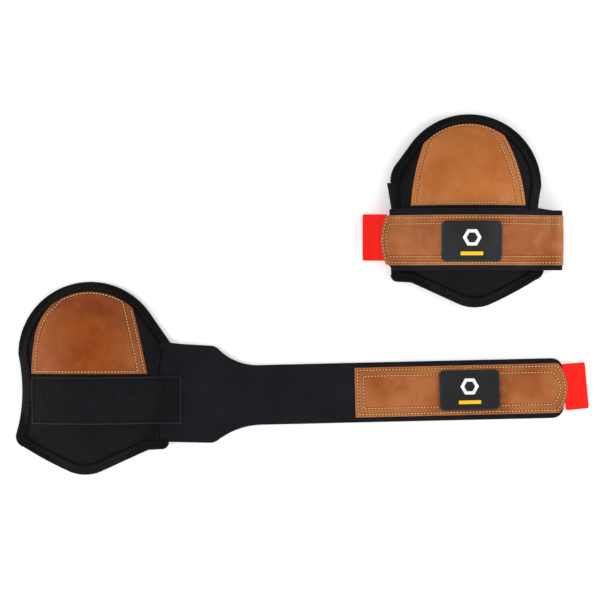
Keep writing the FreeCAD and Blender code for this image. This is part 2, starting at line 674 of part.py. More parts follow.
def rounded(low_x, high_x, low_y, high_y, radius):
    """Rectangle with round corners."""
    slant = "%s * (1 - sqrt(0.5))" % radius
    return [
        ("%s + %s" % (low_x, radius), low_y), ("%s - %s" % (high_x, radius), low_y),
        via(("%s - %s" % (high_x, slant), "%s + %s" % (low_y, slant))),
        (high_x, "%s + %s" % (low_y, radius)), (high_x, "%s - %s" % (high_y, radius)),
        via(("%s - %s" % (high_x, slant), "%s - %s" % (high_y, slant))),
        ("%s - %s" % (high_x, radius), high_y), ("%s + %s" % (low_x, radius), high_y),
        via(("%s + %s" % (low_x, slant), "%s - %s" % (high_y, slant))),
        (low_x, "%s - %s" % (high_y, radius)), (low_x, "%s + %s" % (low_y, radius)),
        via(("%s + %s" % (low_x, slant), "%s + %s" % (low_y, slant))),
    ]


# ---------------------------------------------------------------- build, check and write
pieces = make_cup(OPEN) + make_open_strap() + make_cup(CLOSED) + make_closed_strap()
doc.recompute()

for item in doc.Objects:
    if "Invalid" in item.State or "Error" in item.State:
        raise RuntimeError("failed object: %s %s" % (item.Name, item.State))
for piece in pieces:
    if piece.Shape.isNull() or not piece.Shape.isValid():
        raise RuntimeError("bad shape: " + piece.Label)

os.makedirs("parts", exist_ok=True)
for piece in pieces:
    piece.Shape.exportStep(os.path.join("parts", piece.Label + ".step"))
    box = piece.Shape.BoundBox
    print("%-20s solids %d volume %9.0f  x %7.1f %7.1f  y %7.1f %7.1f  z %5.1f %5.1f" % (
        piece.Label, len(piece.Shape.Solids), piece.Shape.Volume,
        box.XMin, box.XMax, box.YMin, box.YMax, box.ZMin, box.ZMax))
whole = Part.makeCompound([piece.Shape for piece in pieces]).BoundBox
print("whole: x %.2f %.2f  y %.2f %.2f  z %.2f %.2f" % (
    whole.XMin, whole.XMax, whole.YMin, whole.YMax, whole.ZMin, whole.ZMax))
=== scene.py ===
import math

import bmesh
import bpy
import numpy as np
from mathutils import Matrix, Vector, noise
from mathutils.bvhtree import BVHTree


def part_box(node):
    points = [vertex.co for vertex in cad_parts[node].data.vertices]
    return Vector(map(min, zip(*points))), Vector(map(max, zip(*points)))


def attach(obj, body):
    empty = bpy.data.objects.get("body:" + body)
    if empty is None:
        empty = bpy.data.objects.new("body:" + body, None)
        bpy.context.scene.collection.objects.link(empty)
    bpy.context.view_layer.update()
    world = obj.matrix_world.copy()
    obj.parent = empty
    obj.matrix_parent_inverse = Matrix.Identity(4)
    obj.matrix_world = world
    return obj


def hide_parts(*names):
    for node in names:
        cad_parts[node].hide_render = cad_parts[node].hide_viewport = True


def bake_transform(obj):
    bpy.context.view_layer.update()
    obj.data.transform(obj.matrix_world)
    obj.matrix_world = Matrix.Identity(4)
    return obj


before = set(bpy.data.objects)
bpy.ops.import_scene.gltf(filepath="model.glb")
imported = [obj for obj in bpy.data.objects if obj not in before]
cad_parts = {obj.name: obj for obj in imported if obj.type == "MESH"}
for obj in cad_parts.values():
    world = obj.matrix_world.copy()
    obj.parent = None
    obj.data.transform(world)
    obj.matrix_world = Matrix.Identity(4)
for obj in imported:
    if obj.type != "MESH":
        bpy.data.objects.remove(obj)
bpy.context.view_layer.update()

# All shapes below are in millimetres, in the frame of one pad, and become metres when a mesh is made.
# Pad frame: origin at the centre of the round crown, +X towards the strap seam, +Y up the leg, Z = 0 at
# the underside of the binding. The fastened pad is the mirror image of the open one.
MM = 0.001
OPEN, CLOSED = 1, -1
NAME = {OPEN: "open", CLOSED: "closed"}
VIA = "via"

# cup: each face has one radius across the knee and one along the leg
CREST_X, CREST_Y = -2.0, -26.0
TOP = {"across": 92.0, "along": 152.0, "crest": 45.5, "flange": 5.5}
INSIDE = {"across": 101.5, "along": 182.0, "crest": 28.5, "flange": 1.5}
CROWN, EAR_REACH = 76.5, 85.5
BINDING_IN, BINDING_OUT, BINDING_TOP = 9.0, 1.5, 1.42
FLANGE_TOP = 5.5
BAND, BAND_LOW = 4.0, 1.5
CAP_THICK, LOOP_THICK, FACING_THICK, HOOK_THICK, TAB_THICK = 1.3, 1.9, 1.25, 1.5, 1.5

# fastened pad: the fold beside the seam, the bend on the far side and the strap's place over the cup
TURN_X, TURN_INNER, TURN_SLANT = 84.0, 0.85, 4.6
TURN_END = TURN_X + math.pi * (TURN_INNER + BAND / 2)
BEND_X, BEND_Z, BEND_INNER = 92.0, 4.45, 4.65
BEND_PITCH = BEND_INNER + BAND / 2
FRONT_Y, FRONT_BASE = -58.0, 3.6


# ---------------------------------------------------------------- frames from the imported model
def corners_mm(node):
    """Lowest and highest corner of a CAD node's box, in millimetres."""
    return np.array(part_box(node)) / MM


def pad_origin(side):
    """Where the pad frame lies, from the reach of the binding's ears and crown."""
    low, high = corners_mm(NAME[side] + "_edge_binding")
    x = high[0] - EAR_REACH if side == OPEN else low[0] + EAR_REACH
    return np.array([x, high[1] - CROWN - BINDING_OUT, low[2]])


ORIGIN = {side: pad_origin(side) for side in (OPEN, CLOSED)}


# ---------------------------------------------------------------- lines
def arc_through(first, middle, last, count):
    """Points on the arc from first to last through middle, last left out; straight where they are in line."""
    a, b, c = (complex(*point) for point in (first, middle, last))
    shares = np.arange(count) / count
    if abs(((b - a).conjugate() * (c - a)).imag) < 1e-9:
        spots = a + (c - a) * shares
    else:
        w = (c - a) / (b - a)
        centre = a + (b - a) * (w - abs(w) ** 2) / (2j * w.imag)
        half, turn = (np.angle((point - centre) / (a - centre)) % (2 * math.pi) for point in (b, c))
        spots = centre + (a - centre) * np.exp(1j * shares * (turn - 2 * math.pi * (half > turn)))
    return list(zip(spots.real, spots.imag))


def trace(outline, step=1.5, closed=False, out=0.0):
    """Dense points along an outline of (x, y[, outward x, outward y][, VIA]) items, moved outward by out."""
    plain = [np.array(item[:2], float) for item in outline]
    moved = [spot + out * np.array(item[2:4]) if len(item) > 3 else spot for spot, item in zip(plain, outline)]
    corners = [index for index, item in enumerate(outline) if VIA not in item]
    points = []
    for first, last in zip(corners, corners[1:] + corners[:1] * closed):
        middle = (first + 1) % len(outline)
        length = math.dist(plain[first], plain[middle]) + math.dist(plain[middle], plain[last])
        count = max(1, round(length / step))
        via = moved[middle] if middle != last else (moved[first] + moved[last]) / 2
        points += arc_through(moved[first], via, moved[last], count)
    return np.array(points if closed else points + [tuple(moved[corners[-1]])])


def unit(vectors):
    """Vectors brought to length one."""
    return vectors / np.linalg.norm(vectors, axis=1)[:, None]


def way_along(line):
    """How far along a line each of its points is."""
    return np.concatenate([[0], np.cumsum(np.linalg.norm(np.diff(line, axis=0), axis=1))])


def at_ways(line, way, spots):
    """A line's points, or vectors kept with them, at given distances along it."""
    return np.column_stack([np.interp(spots, way, values) for values in line.T])


def resample(points, step):
    """Evenly spaced points along a line."""
    points = np.asarray(points, float)
    way = way_along(points)
    return at_ways(points, way, np.linspace(0, way[-1], max(2, round(way[-1] / step)) + 1))


def resample_all(rows, step=0.8):
    """Evenly spaced points along several lines."""
    return np.concatenate([resample(row, step) for row in rows])


def near_line(points, line):
    """Distance of points from a dense line."""
    best = np.full(len(points), 1e9)
    for start in range(0, len(line), 200):
        gap = points[:, None, :] - line[None, start:start + 200, :]
        best = np.minimum(best, np.sqrt((gap ** 2).sum(axis=2)).min(axis=1))
    return best


def inset_line(line, shift):
    """Line moved to its left by shift."""
    line = np.asarray(line, float)
    return line + shift * unit(np.gradient(line, axis=0)) @ [[0, 1], [-1, 0]]


def turned_plan(points, degrees, at):
    """Plan points turned about the vertical, then moved."""
    cos, sin = math.cos(math.radians(degrees)), math.sin(math.radians(degrees))
    return np.asarray(points, float) @ np.array([[cos, sin], [-sin, cos]]) + at


def rectangle_lines(x0, x1, y0, y1):
    """Boundary lines of a rectangle."""
    return [(x0, y0), (x1, y0)], [(x0, y1), (x1, y1)], [(x0, y0), (x0, y1)], [(x1, y0), (x1, y1)]


def corner(centre, radius, first, last, count=7):
    """Arc points round a corner, angles in degrees."""
    turns = np.radians(np.linspace(first, last, count))
    return [(centre[0] + radius * math.cos(a), centre[1] + radius * math.sin(a)) for a in turns]


def round_end(x1, low_y, high_y, radius, facing=1):
    """Round-cornered end of a band: its part of the lower line and of the upper, and the line between them."""
    low, high = (x1 - facing * radius, low_y + radius), (x1 - facing * radius, high_y - radius)
    if facing < 0:
        return (corner(low, radius, 225, 270), corner(high, radius, 135, 90),
                corner(low, radius, 225, 180) + corner(high, radius, 180, 135))
    return (corner(low, radius, 270, 315), corner(high, radius, 90, 45),
            corner(low, radius, 315, 360) + corner(high, radius, 0, 45))


def rounded_lines(x0, x1, y0, y1, radius):
    """Boundary lines of a rectangle with round corners, split in the middle of each corner."""
    low_left, high_left, left = round_end(x0, y0, y1, radius, -1)
    low_right, high_right, right = round_end(x1, y0, y1, radius)
    return low_left + low_right, high_left + high_right, left, right


LOWER_EDGE = [
    (-CROWN, 0.0, -1, 0), (-72.0, -45.0, -1, 0, VIA), (-78.2, -84.0, -1, 0),
    (-78.3, -93.0, -0.87, -0.5, VIA), (-71.0, -99.3, -0.45, -0.89),
    (-46.0, -113.8, -0.46, -0.89, VIA), (-20.0, -126.4, -0.35, -0.94),
    (-3.0, -128.7, 0.05, -1, VIA), (12.0, -124.8, 0.42, -0.91), (62.0, -102.0, 0.3, -0.95),
]
CROWN_EDGE = [(64.5, 41.1, 0.843, 0.537), (0.0, CROWN, 0, 1, VIA)]
SEAM = [(75.5, -94.6), (72.2, -39.2, VIA), (78.5, 13.0)]
COVER_EDGE = CROWN_EDGE + LOWER_EDGE + [(75.0, -99.5, 0.3, -0.95), (75.5, -94.6, 0.6, 0),
                                        (72.2, -39.2, 1, 0, VIA), (78.5, 13.0, 1, 0)]
LOW_EAR = [(75.5, -101.3, 0.3, -0.95), (81.6, -99.2, 0.73, -0.73, VIA), (83.6, -94.0, 0.68, -0.22)]
HIGH_EAR = {OPEN: [(85.2, 11.7, 1.0, 0.0)],
            CLOSED: [(83.3, 4.2, 1, 0), (82.0, 15.0, 0.95, 0.3, VIA), (76.0, 25.4, 0.81, 0.59)]}

# The two caps are cut alike but not as mirror images, so each pad has its own lines.
CAP_CORNERS = {OPEN: [(-62.5, -20.8), (-40.5, 54.0), (45.9, 49.5), (61.8, -20.8)],
               CLOSED: [(-59.4, -20.8), (-37.8, 54.2), (48.2, 48.6), (63.0, -20.8)]}
CAP_VIA = {OPEN: [[(-61.7, -3.0, VIA), (-59.8, 14.5), (-52.4, 38.6, VIA)], [(54.3, 15.0, VIA)]],
           CLOSED: [[(-51.2, 22.0, VIA)], [(58.3, 14.0, VIA)]]}


def cap_lines(side):
    """Bottom, top, left and right line of a cap."""
    low_left, high_left, high_right, low_right = CAP_CORNERS[side]
    left_via, right_via = CAP_VIA[side]
    return ([low_left, low_right], trace([high_left, (0.0, 67.5, VIA), high_right]),
            trace([low_left, *left_via, high_left]), trace([low_right, *right_via, high_right]))


# ---------------------------------------------------------------- the cup's faces
def soft_max(a, b, width):
    """The larger of two heights, with a round transition."""
    return (a + b + np.sqrt((a - b) ** 2 + width ** 2)) / 2 - width ** 2 / (4 * width + 4 * np.abs(a - b))


def barrel(points, face):
    """Height of a barrel: one radius across the knee, one along the leg."""
    along = np.clip(points[:, 1] - CREST_Y, -face["along"] + 1, face["along"] - 1)
    radius = face["across"] - face["along"] + np.sqrt(face["along"] ** 2 - along ** 2)
    inside = np.maximum(radius, 0) ** 2 - (points[:, 0] - CREST_X) ** 2
    return face["crest"] - face["across"] + np.where(inside > 0, np.sqrt(np.maximum(inside, 0)), -60.0)


def face_height(points, face, width=3.0):
    """Height of a face of the cup, dome and flange."""
    return soft_max(barrel(points, face), np.full(len(points), face["flange"]), width)


class Relief:
    """Height of the sewn cup's outside on a regular grid, read by interpolation."""
    STEP = 2.0
    LOW = np.array([-92.0, -142.0])
    SHAPE = (93, 117)

    def __init__(self):
        xs, ys = (low + self.STEP * np.arange(count) for low, count in zip(self.LOW, self.SHAPE))
        self.points = np.stack(np.meshgrid(xs, ys, indexing="ij"), axis=-1).reshape(-1, 2)
        self.extra = np.zeros(self.SHAPE)

    def learn(self, heights):
        """Take in how far the simulated cup stands above the plain one, smoothed."""
        extra = heights.reshape(self.SHAPE)
        for _ in range(3):
            padded = np.pad(extra, 1, mode="edge")
            extra = (padded[:-2, 1:-1] + padded[2:, 1:-1] + padded[1:-1, :-2] + padded[1:-1, 2:]
                     + 2 * extra) / 6
        self.extra = extra

    def height(self, points):
        """Height of the cup's outside at pad-frame points."""
        spot = (points - self.LOW) / self.STEP
        cell = np.clip(np.floor(spot).astype(int), 0, np.array(self.SHAPE) - 2)
        (i, j), (u, v) = cell.T, np.clip(spot - cell, 0, 1).T
        near = (1 - u) * self.extra[i, j] + u * self.extra[i + 1, j]
        far = (1 - u) * self.extra[i, j + 1] + u * self.extra[i + 1, j + 1]
        return face_height(points, TOP) + (1 - v) * near + v * far


CUP = Relief()


# ---------------------------------------------------------------- surfaces: (plan point, lift) to space
def to_space(side, local):
    """Pad-frame points to the row frame, millimetres."""
    return local * np.array([side, 1, 1]) + ORIGIN[side]


def on_heights(heights, points, lift):
    """Points raised over a height field by a thickness square to it, without leaving their plan place."""
    reach, steepest = 0.6, 1.8
    slopes = [(heights(points + step) - heights(points - step)) / (2 * reach) for step in reach * np.eye(2)]
    steep = np.minimum(np.sqrt(1 + slopes[0] ** 2 + slopes[1] ** 2), steepest)
    return np.column_stack([points, heights(points) + np.asarray(lift) * steep])


def cup_surface(side):
    """Outside of the cup and of the flat wing root beside it."""
    return lambda points, lift: to_space(side, on_heights(CUP.height, points, lift))


def inside_surface(side):
    """Inside of the cup; lift goes down, away from the foam."""
    return lambda points, lift: to_space(
        side, on_heights(lambda spots: face_height(spots, INSIDE), points, -np.asarray(lift)))


def flat_surface(at, degrees, level):
    """Plane at a height, turned about the vertical."""
    return lambda points, lift: np.column_stack([turned_plan(points, degrees, at), level + np.asarray(lift)])


def turn_surface(points, lift):
    """Fastened pad's wing: flat from the seam, round the fold, then back under the cup; x is the way along."""
    way, lift = points[:, 0], np.asarray(lift)
    slant = TURN_SLANT * np.clip((4.0 - points[:, 1]) / 28, 0, 1) ** 0.8
    slant = slant * np.clip((way - 72) / 12, 0, 1) * np.clip(1 - (way - TURN_END) / 60, 0, 1)
    angle = np.clip((way - TURN_X) / (TURN_END - TURN_X), 0, 1) * math.pi
    radius = TURN_INNER + BAND + lift
    x = np.where(way > TURN_END, TURN_X - (way - TURN_END), TURN_X + radius * np.sin(angle))
    x = np.where(way < TURN_X, way, x)
    local = np.column_stack([x - slant, points[:, 1], BAND_LOW - TURN_INNER + radius * np.cos(angle)])
    near = np.column_stack([np.minimum(way, TURN_X) - slant, points[:, 1]])
    over = on_heights(CUP.height, near, lift)
    return to_space(CLOSED, np.where((way < TURN_X)[:, None], over, local))


def front_heights(points):
    """Underside of the strap over the fastened cup, in pad-frame points: it bridges the foot of the dome."""
    around = np.mean([CUP.height(points + [shift, 0]) for shift in (-14, -10, -6, -3, 3, 6, 10, 14)], axis=0)
    return soft_max(CUP.height(points), around, 1.0) + FRONT_BASE


def front_surface(points, lift):
    """Fastened strap: x below 0 runs round the far bend, x from 0 runs over the front to the free end."""
    way, lift = points[:, 0], np.asarray(lift)
    angle = np.clip(-way / BEND_PITCH, 0, math.pi)
    radius = BEND_INNER + lift
    bent = np.column_stack([-(BEND_X + radius * np.sin(angle)), points[:, 1] + FRONT_Y,
                            BEND_Z + radius * np.cos(angle)])
    plan = np.column_stack([np.maximum(way, 0) - BEND_X, points[:, 1] + FRONT_Y])
    near = np.clip(way / 8.0, 0, 1)[:, None]
    flat = np.column_stack([plan, FLANGE_TOP + FRONT_BASE + lift])
    over = flat * (1 - near) + on_heights(front_heights, plan, lift) * near
    return to_space(CLOSED, np.where((way < 0)[:, None], bent, over))


# ---------------------------------------------------------------- meshes
def link_object(name, data):
    """New object in the scene."""
    item = bpy.data.objects.new(name, data)
    bpy.context.scene.collection.objects.link(item)
    return item


def keep_values(mesh, name, values):
    """Number at each vertex, kept for the material."""
    mesh.attributes.new(name, "FLOAT", "POINT").data.foreach_set("value", np.asarray(values, float))


def add_object(name, vertices, faces, material, edge=None):
    """Mesh object from millimetre points, with its normals turned outward; edge is kept for the material."""
    mesh = bpy.data.meshes.new(name)
    mesh.from_pydata((np.asarray(vertices) * MM).tolist(), [], [list(map(int, face)) for face in faces])
    work = bmesh.new()
    work.from_mesh(mesh)
    bmesh.ops.recalc_face_normals(work, faces=work.faces)
    work.to_mesh(mesh)
    work.free()
    mesh.polygons.foreach_set("use_smooth", [True] * len(mesh.polygons))
    if edge is not None:
        keep_values(mesh, "edge", edge)
        mesh.set_sharp_from_angle(angle=math.radians(55))
    mesh.materials.append(material)
    return link_object(name, mesh)


def grid_faces(rows, columns, ring_rows=False, ring_columns=False):
    """Quads of a grid of vertices, whose rows or columns may close on themselves."""
    index = np.arange(rows * columns).reshape(rows, columns)
    if ring_rows:
        index = np.vstack([index, index[:1]])
    if ring_columns:
        index = np.column_stack([index, index[:, 0]])
    return np.stack([index[:-1, :-1], index[1:, :-1], index[1:, 1:], index[:-1, 1:]], axis=-1).reshape(-1, 4)


def shell_faces(rows, columns):
    """Faces of a closed shell with two sides that are grids of one size, and a wall round their rim."""
    index = np.arange(rows * columns).reshape(rows, columns)
    quads = grid_faces(rows, columns)
    rim = np.concatenate([index[:, 0], index[-1, 1:], index[-2::-1, -1], index[0, -2:0:-1]])
    after = np.roll(rim, -1)
    wall = np.column_stack([rim, after, after + index.size, rim + index.size])
    return np.concatenate([quads, quads[:, ::-1] + index.size, wall])


def spread(low, high, step, lines=(), fine=(0.0, 0.22, 0.6, 1.3)):
    """Positions from low to high: even in between, close together at both ends and beside given lines."""
    inner = np.linspace(low + fine[-1], high - fine[-1], max(2, round((high - low) / step)))
    beside = [line + shift for line in lines for shift in (-0.9, -0.45, 0, 0.45, 0.9)]
    every = np.concatenate([inner, beside, [low + f for f in fine], [high - f for f in fine]])
    every = np.unique(np.round(every[(every >= low) & (every <= high)], 3))
    keep = [every[0]]
    for value in every[1:-1]:
        if value - keep[-1] > 0.15:
            keep.append(value)
    if every[-1] - keep[-1] < 0.15:
        keep.pop()
    return np.array(keep + [every[-1]])


def boundary_patch(bottom, top, left, right, step=1.6, lines_u=(), lines_v=(), square=()):
    """Grid of plan points inside four boundary lines, and each point's distance from the rounded edges.

    The ends named in square are cut straight, against the next piece.
    """
    sides = {"bottom": bottom, "top": top, "left": left, "right": right}
    sides = {end: np.asarray(line, float) for end, line in sides.items()}
    ways = {end: way_along(line) for end, line in sides.items()}
    long, wide = ((ways[one][-1] + ways[other][-1]) / 2
                  for one, other in (("bottom", "top"), ("left", "right")))
    us, vs = spread(0, long, step, lines_u) / long, spread(0, wide, step, lines_v) / wide
    b, t, l, r = (at_ways(sides[end], ways[end], shares * ways[end][-1])
                  for end, shares in zip(sides, (us, us, vs, vs)))
    u, v = us[:, None, None], vs[None, :, None]
    plan = ((1 - v) * b[:, None] + v * t[:, None] + (1 - u) * l[None] + u * r[None]
            - (1 - u) * (1 - v) * b[0] - u * (1 - v) * b[-1] - (1 - u) * v * t[0] - u * v * t[-1])
    edge = resample_all([line for end, line in sides.items() if end not in square], 0.5)
    distance = near_line(plan.reshape(-1, 2), edge).reshape(plan.shape[:2])
    every = slice(None)
    for end, place in (("left", (0, every)), ("right", (-1, every)),
                       ("bottom", (every, 0)), ("top", (every, -1))):
        if end not in square:
            distance[place] = 0
    return plan, distance


def edge_round(distance, radius):
    """How far a rounded edge falls away, by distance from the edge."""
    inside = np.clip(radius - distance, 0, radius)
    return radius - np.sqrt(np.maximum(radius ** 2 - inside ** 2, 0))


def sheet_piece(name, patch, surface, low, high, radius, material, relief=None, seams=()):
    """Sheet of even thickness with rounded edges, from a grid of plan points and their edge distances.

    The distances from the edge and from the stitch rows are kept for the material.
    """
    plan, distance = patch
    flat, away = plan.reshape(-1, 2), distance.reshape(-1)
    fall = edge_round(away, radius)
    top = high - fall + (relief(flat, away) if relief else 0)
    vertices = np.concatenate([surface(flat, top), surface(flat, low + fall)])
    item = add_object(name, vertices, shell_faces(*distance.shape), material, np.tile(away, 2))
    sewn = np.full(2 * len(flat), 99.0)
    if seams:
        sewn[:len(flat)] = near_line(flat, resample_all(seams))
    keep_values(item.data, "seam", sewn)
    return item


def ring_piece(name, inner, outer, surface, low, high, material):
    """Flat ring between two outlines with the same number of points."""
    shares = np.linspace(0, 1, 5)[:, None, None]
    rings = np.asarray(inner)[None] * (1 - shares) + np.asarray(outer)[None] * shares
    count = rings.shape[1]
    tops = np.repeat([high - 0.18, high, high, high, high - 0.18], count)
    flat = rings.reshape(-1, 2)
    below = surface(rings[::-1].reshape(-1, 2), np.full(len(flat), low))
    vertices = np.concatenate([surface(flat, tops), below])
    return add_object(name, vertices, grid_faces(2 * len(rings), count, True, True), material)


def wobble(points, size, amount, seed=0.0):
    """Gentle unevenness of cloth."""
    return amount * np.array([noise.noise(Vector((x / size, y / size, seed))) for x, y in points])


def pressed(rows, depth=0.35, width=1.0, seed=0.0, uneven=0.12):
    """Height change of a face: a groove along stitch rows, and a slight unevenness that stays below zero."""
    line = resample_all(rows) if rows else None

    def relief(flat, away):
        change = wobble(flat, 17.0, uneven, seed) + wobble(flat, 6.0, uneven * 0.4, seed + 7) - uneven
        if line is not None:
            beside = near_line(flat, line) / width
            change = change - depth * (0.7 * np.exp(-beside ** 2) + 0.5 * np.exp(-(beside / 3.5) ** 2))
        return change
    return relief


def sew(name, rows, surface, lift, material, pitch=3.5, length=2.3, thick=1.15, swing=0.0, sink=0.25):
    """Rows of stitches: each is a short arched thread with its ends pulled into the cloth."""
    rings, sides = 7, 6
    t = np.linspace(0, 1, rings)
    arch = np.sin(math.pi * t) ** 0.6
    radius = (thick / 2 * (0.55 + 0.45 * arch))[:, None, None]
    turns = np.arange(sides)[:, None] * 2 * math.pi / sides
    size = rings * sides
    caps = [list(range(sides)), list(range(size - sides, size))]
    tube = grid_faces(rings, sides, ring_columns=True).tolist() + caps
    stitches, faces = [], []
    for row in rows:
        plan = resample(row, 0.6)
        beside = unit(np.gradient(plan, axis=0)) @ [[0, 0.4], [-0.4, 0]]
        spine, left, right, raised = (surface(spots, np.full(len(plan), height)) for spots, height in (
            (plan, lift), (plan + beside, lift), (plan - beside, lift), (plan, lift + 1.0)))
        above = np.cross(np.gradient(spine, axis=0), left - right)
        above = unit(above * np.sign(((raised - spine) * above).sum(axis=1))[:, None])
        way = way_along(spine)
        count = int((way[-1] - 0.4) / pitch)
        for number in range(count):
            spots = (number + 0.5) * way[-1] / count + length * (t - 0.5)
            centre, up = at_ways(spine, way, spots), unit(at_ways(above, way, spots))
            aside = np.cross(up, unit(np.gradient(centre, axis=0)))
            sign = 1 if number % 2 else -1
            centre = (centre + aside * (sign * swing * (2 * t - 1))[:, None]
                      + up * (thick / 2 * (arch * 1.2 - sink))[:, None])
            around = np.cos(turns) * aside[:, None] + np.sin(turns) * up[:, None]
            faces += [[index + size * len(stitches) for index in face] for face in tube]
            stitches.append((centre[:, None] + radius * around).reshape(-1, 3))
    return add_object(name, np.concatenate(stitches), faces, material)


# ---------------------------------------------------------------- materials
def srgb(red, green, blue):
    """Screen colour, 0 to 255, as linear light."""
    def linear(value):
        value /= 255
        return value / 12.92 if value <= 0.04045 else ((value + 0.055) / 1.055) ** 2.4
    return linear(red), linear(green), linear(blue), 1.0


class Finish:
    """A procedural material in object coordinates; colours are srgb triples, linear light or node outputs."""

    def __init__(self, name, sockets):
        self.material = bpy.data.materials.new(name)
        self.material.use_nodes = True
        self.nodes, self.links = self.material.node_tree.nodes, self.material.node_tree.links
        self.shader = self.nodes["Principled BSDF"]
        for socket, value in sockets.items():
            self.shader.inputs[socket].default_value = value
        self.place = self.nodes.new("ShaderNodeTexCoord").outputs["Object"]

    def add(self, kind, inputs, output=0, **settings):
        node = self.nodes.new("ShaderNode" + kind)
        for key, value in settings.items():
            setattr(node, key, value)
        for key, value in inputs.items():
            if isinstance(value, bpy.types.NodeSocket):
                self.links.new(value, node.inputs[key])
            else:
                node.inputs[key].default_value = value
        return node.outputs[output]

    def clouds(self, size_mm, detail=2.0, rough=0.5):
        return self.add("TexNoise", {"Vector": self.place, "Scale": 1000 / size_mm, "Detail": detail,
                                     "Roughness": rough})

    def cells(self, size_mm, feature="F1"):
        return self.add("TexVoronoi", {"Vector": self.place, "Scale": 1000 / size_mm}, feature=feature)

    def bands(self, direction, pitch_mm, distortion=0.0, lean=None):
        """Bands across X or Y, their pattern turned by lean degrees."""
        place = self.place
        if lean is not None:
            place = self.add("Mapping", {"Vector": place, "Rotation": (0, 0, math.radians(lean))})
        return self.add("TexWave", {"Vector": place, "Scale": 314.16 / pitch_mm, "Distortion": distortion,
                                    "Detail": 1.0, "Detail Scale": 2.0}, output=1, bands_direction=direction)

    def math(self, operation, first, second):
        return self.add("Math", {0: first, 1: second}, operation=operation)

    def weighed(self, one, share, other, other_share):
        """Sum of two heights in given shares."""
        return self.math("ADD", self.math("MULTIPLY", one, share), self.math("MULTIPLY", other, other_share))

    def scaled(self, value, from_min, from_max, to_min=0.0, to_max=1.0):
        return self.add("MapRange", {"Value": value, "From Min": from_min, "From Max": from_max,
                                     "To Min": to_min, "To Max": to_max})

    def stain(self, first, second, value, low, high, start=0.0, end=1.0):
        """First colour with a share of the second, from start where value is low to end where it is high."""
        first, second = (srgb(*colour) if isinstance(colour, tuple) and len(colour) == 3 else colour
                         for colour in (first, second))
        return self.add("MixRGB", {"Fac": self.scaled(value, low, high, start, end),
                                   "Color1": first, "Color2": second})

    def stored(self, name):
        """Distance in millimetres from the piece's cut edge, or from its stitch rows."""
        return self.add("Attribute", {}, output=2, attribute_name=name)

    def done(self, colour, roughness, *bumps):
        """Colour, roughness as (uneven value, least, most) and bumps as (height, depth in mm)."""
        value, least, most = roughness
        self.links.new(colour, self.shader.inputs["Base Color"])
        self.links.new(self.scaled(value, 0.3, 0.7, least, most), self.shader.inputs["Roughness"])
        normal = {}
        for height, depth in bumps:
            inputs = {"Height": height, "Distance": depth * MM, "Strength": 1.0, **normal}
            normal = {"Normal": self.add("Bump", inputs)}
        if normal:
            self.links.new(normal["Normal"], self.shader.inputs["Normal"])
        return self.material


def leather(name, dark, middle, light, gloss):
    """Smooth hide: drifting colour, fine grain with dark creases, puckered stitch rows with painted shade along
    them, lighter cut edges.
    """
    f = Finish(name, {"Specular IOR Level": 0.42, "Specular Tint": (1.0, 0.76, 0.42, 1.0)})
    grain = f.scaled(f.cells(1.1, "DISTANCE_TO_EDGE"), 0.0, 0.16)
    red, green, blue, _ = srgb(*dark)
    dark_grain_and_shade = (red * 0.5, green * 0.42, blue * 0.4, 1)
    colour = f.stain(dark, middle, f.clouds(48, 2), 0.4, 0.62)
    colour = f.stain(colour, light, f.clouds(13, 4, 0.6), 0.5, 0.75, 0, 0.3)
    colour = f.stain(colour, dark_grain_and_shade, grain, 0, 1, 0.14, 0)
    colour = f.stain(colour, dark_grain_and_shade, f.clouds(2.4, 3, 0.65), 0.58, 0.75, 0, 0.16)
    # painted shade: the leather darkens towards the stitch rows, in place of the shade in the stitch holes and
    # pressed groove
    colour = f.stain(colour, dark_grain_and_shade, f.stored("seam"), 0.5, 1.5, 0.85, 0.0)
    colour = f.stain(colour, light, f.stored("edge"), 0.15, 1.1, 0.5, 0.0)
    return f.done(colour, (f.clouds(9, 3), gloss - 0.05, gloss + 0.12),
                  (f.clouds(18, 3), 0.3), (grain, 0.06), (f.clouds(0.45, 2), 0.04))


def knit(name, dark, light, size):
    """Fine knitted face of neoprene, with a little nap and lint."""
    f = Finish(name, {"Specular IOR Level": 0.06, "Sheen Weight": 0.012, "Sheen Roughness": 0.5})
    loop = f.math("MULTIPLY", f.bands("X", size, 0.6), f.bands("Y", size * 0.8, 0.6))
    colour = f.stain(dark, light, loop, 0, 1)
    colour = f.stain(colour, light, f.clouds(40, 3), 0.35, 0.7, 0, 0.35)
    colour = f.stain(colour, (92, 93, 96), f.cells(5.5), 0.0, 0.075, 0.55, 0)
    return f.done(colour, (f.clouds(6, 2), 0.72, 0.9), (f.clouds(26, 2), 0.4), (loop, 0.09))


def woven(name, dark, light, pitch, gloss, lean=45, sheen=0.01):
    """Twill tape: diagonal ribs crossed by fine yarns."""
    f = Finish(name, {"Specular IOR Level": 0.07, "Sheen Weight": sheen, "Sheen Roughness": 0.4})
    height = f.weighed(f.bands("X", pitch, 0.4, lean), 0.7, f.bands("X", pitch * 0.45, 0.3, lean + 90), 0.3)
    colour = f.stain(dark, light, height, 0.1, 0.95)
    colour = f.stain(colour, dark, f.clouds(14, 3), 0.45, 0.75, 0, 0.4)
    return f.done(colour, (f.clouds(3, 2), gloss - 0.06, gloss + 0.1), (f.clouds(5, 2), 0.12), (height, 0.13))


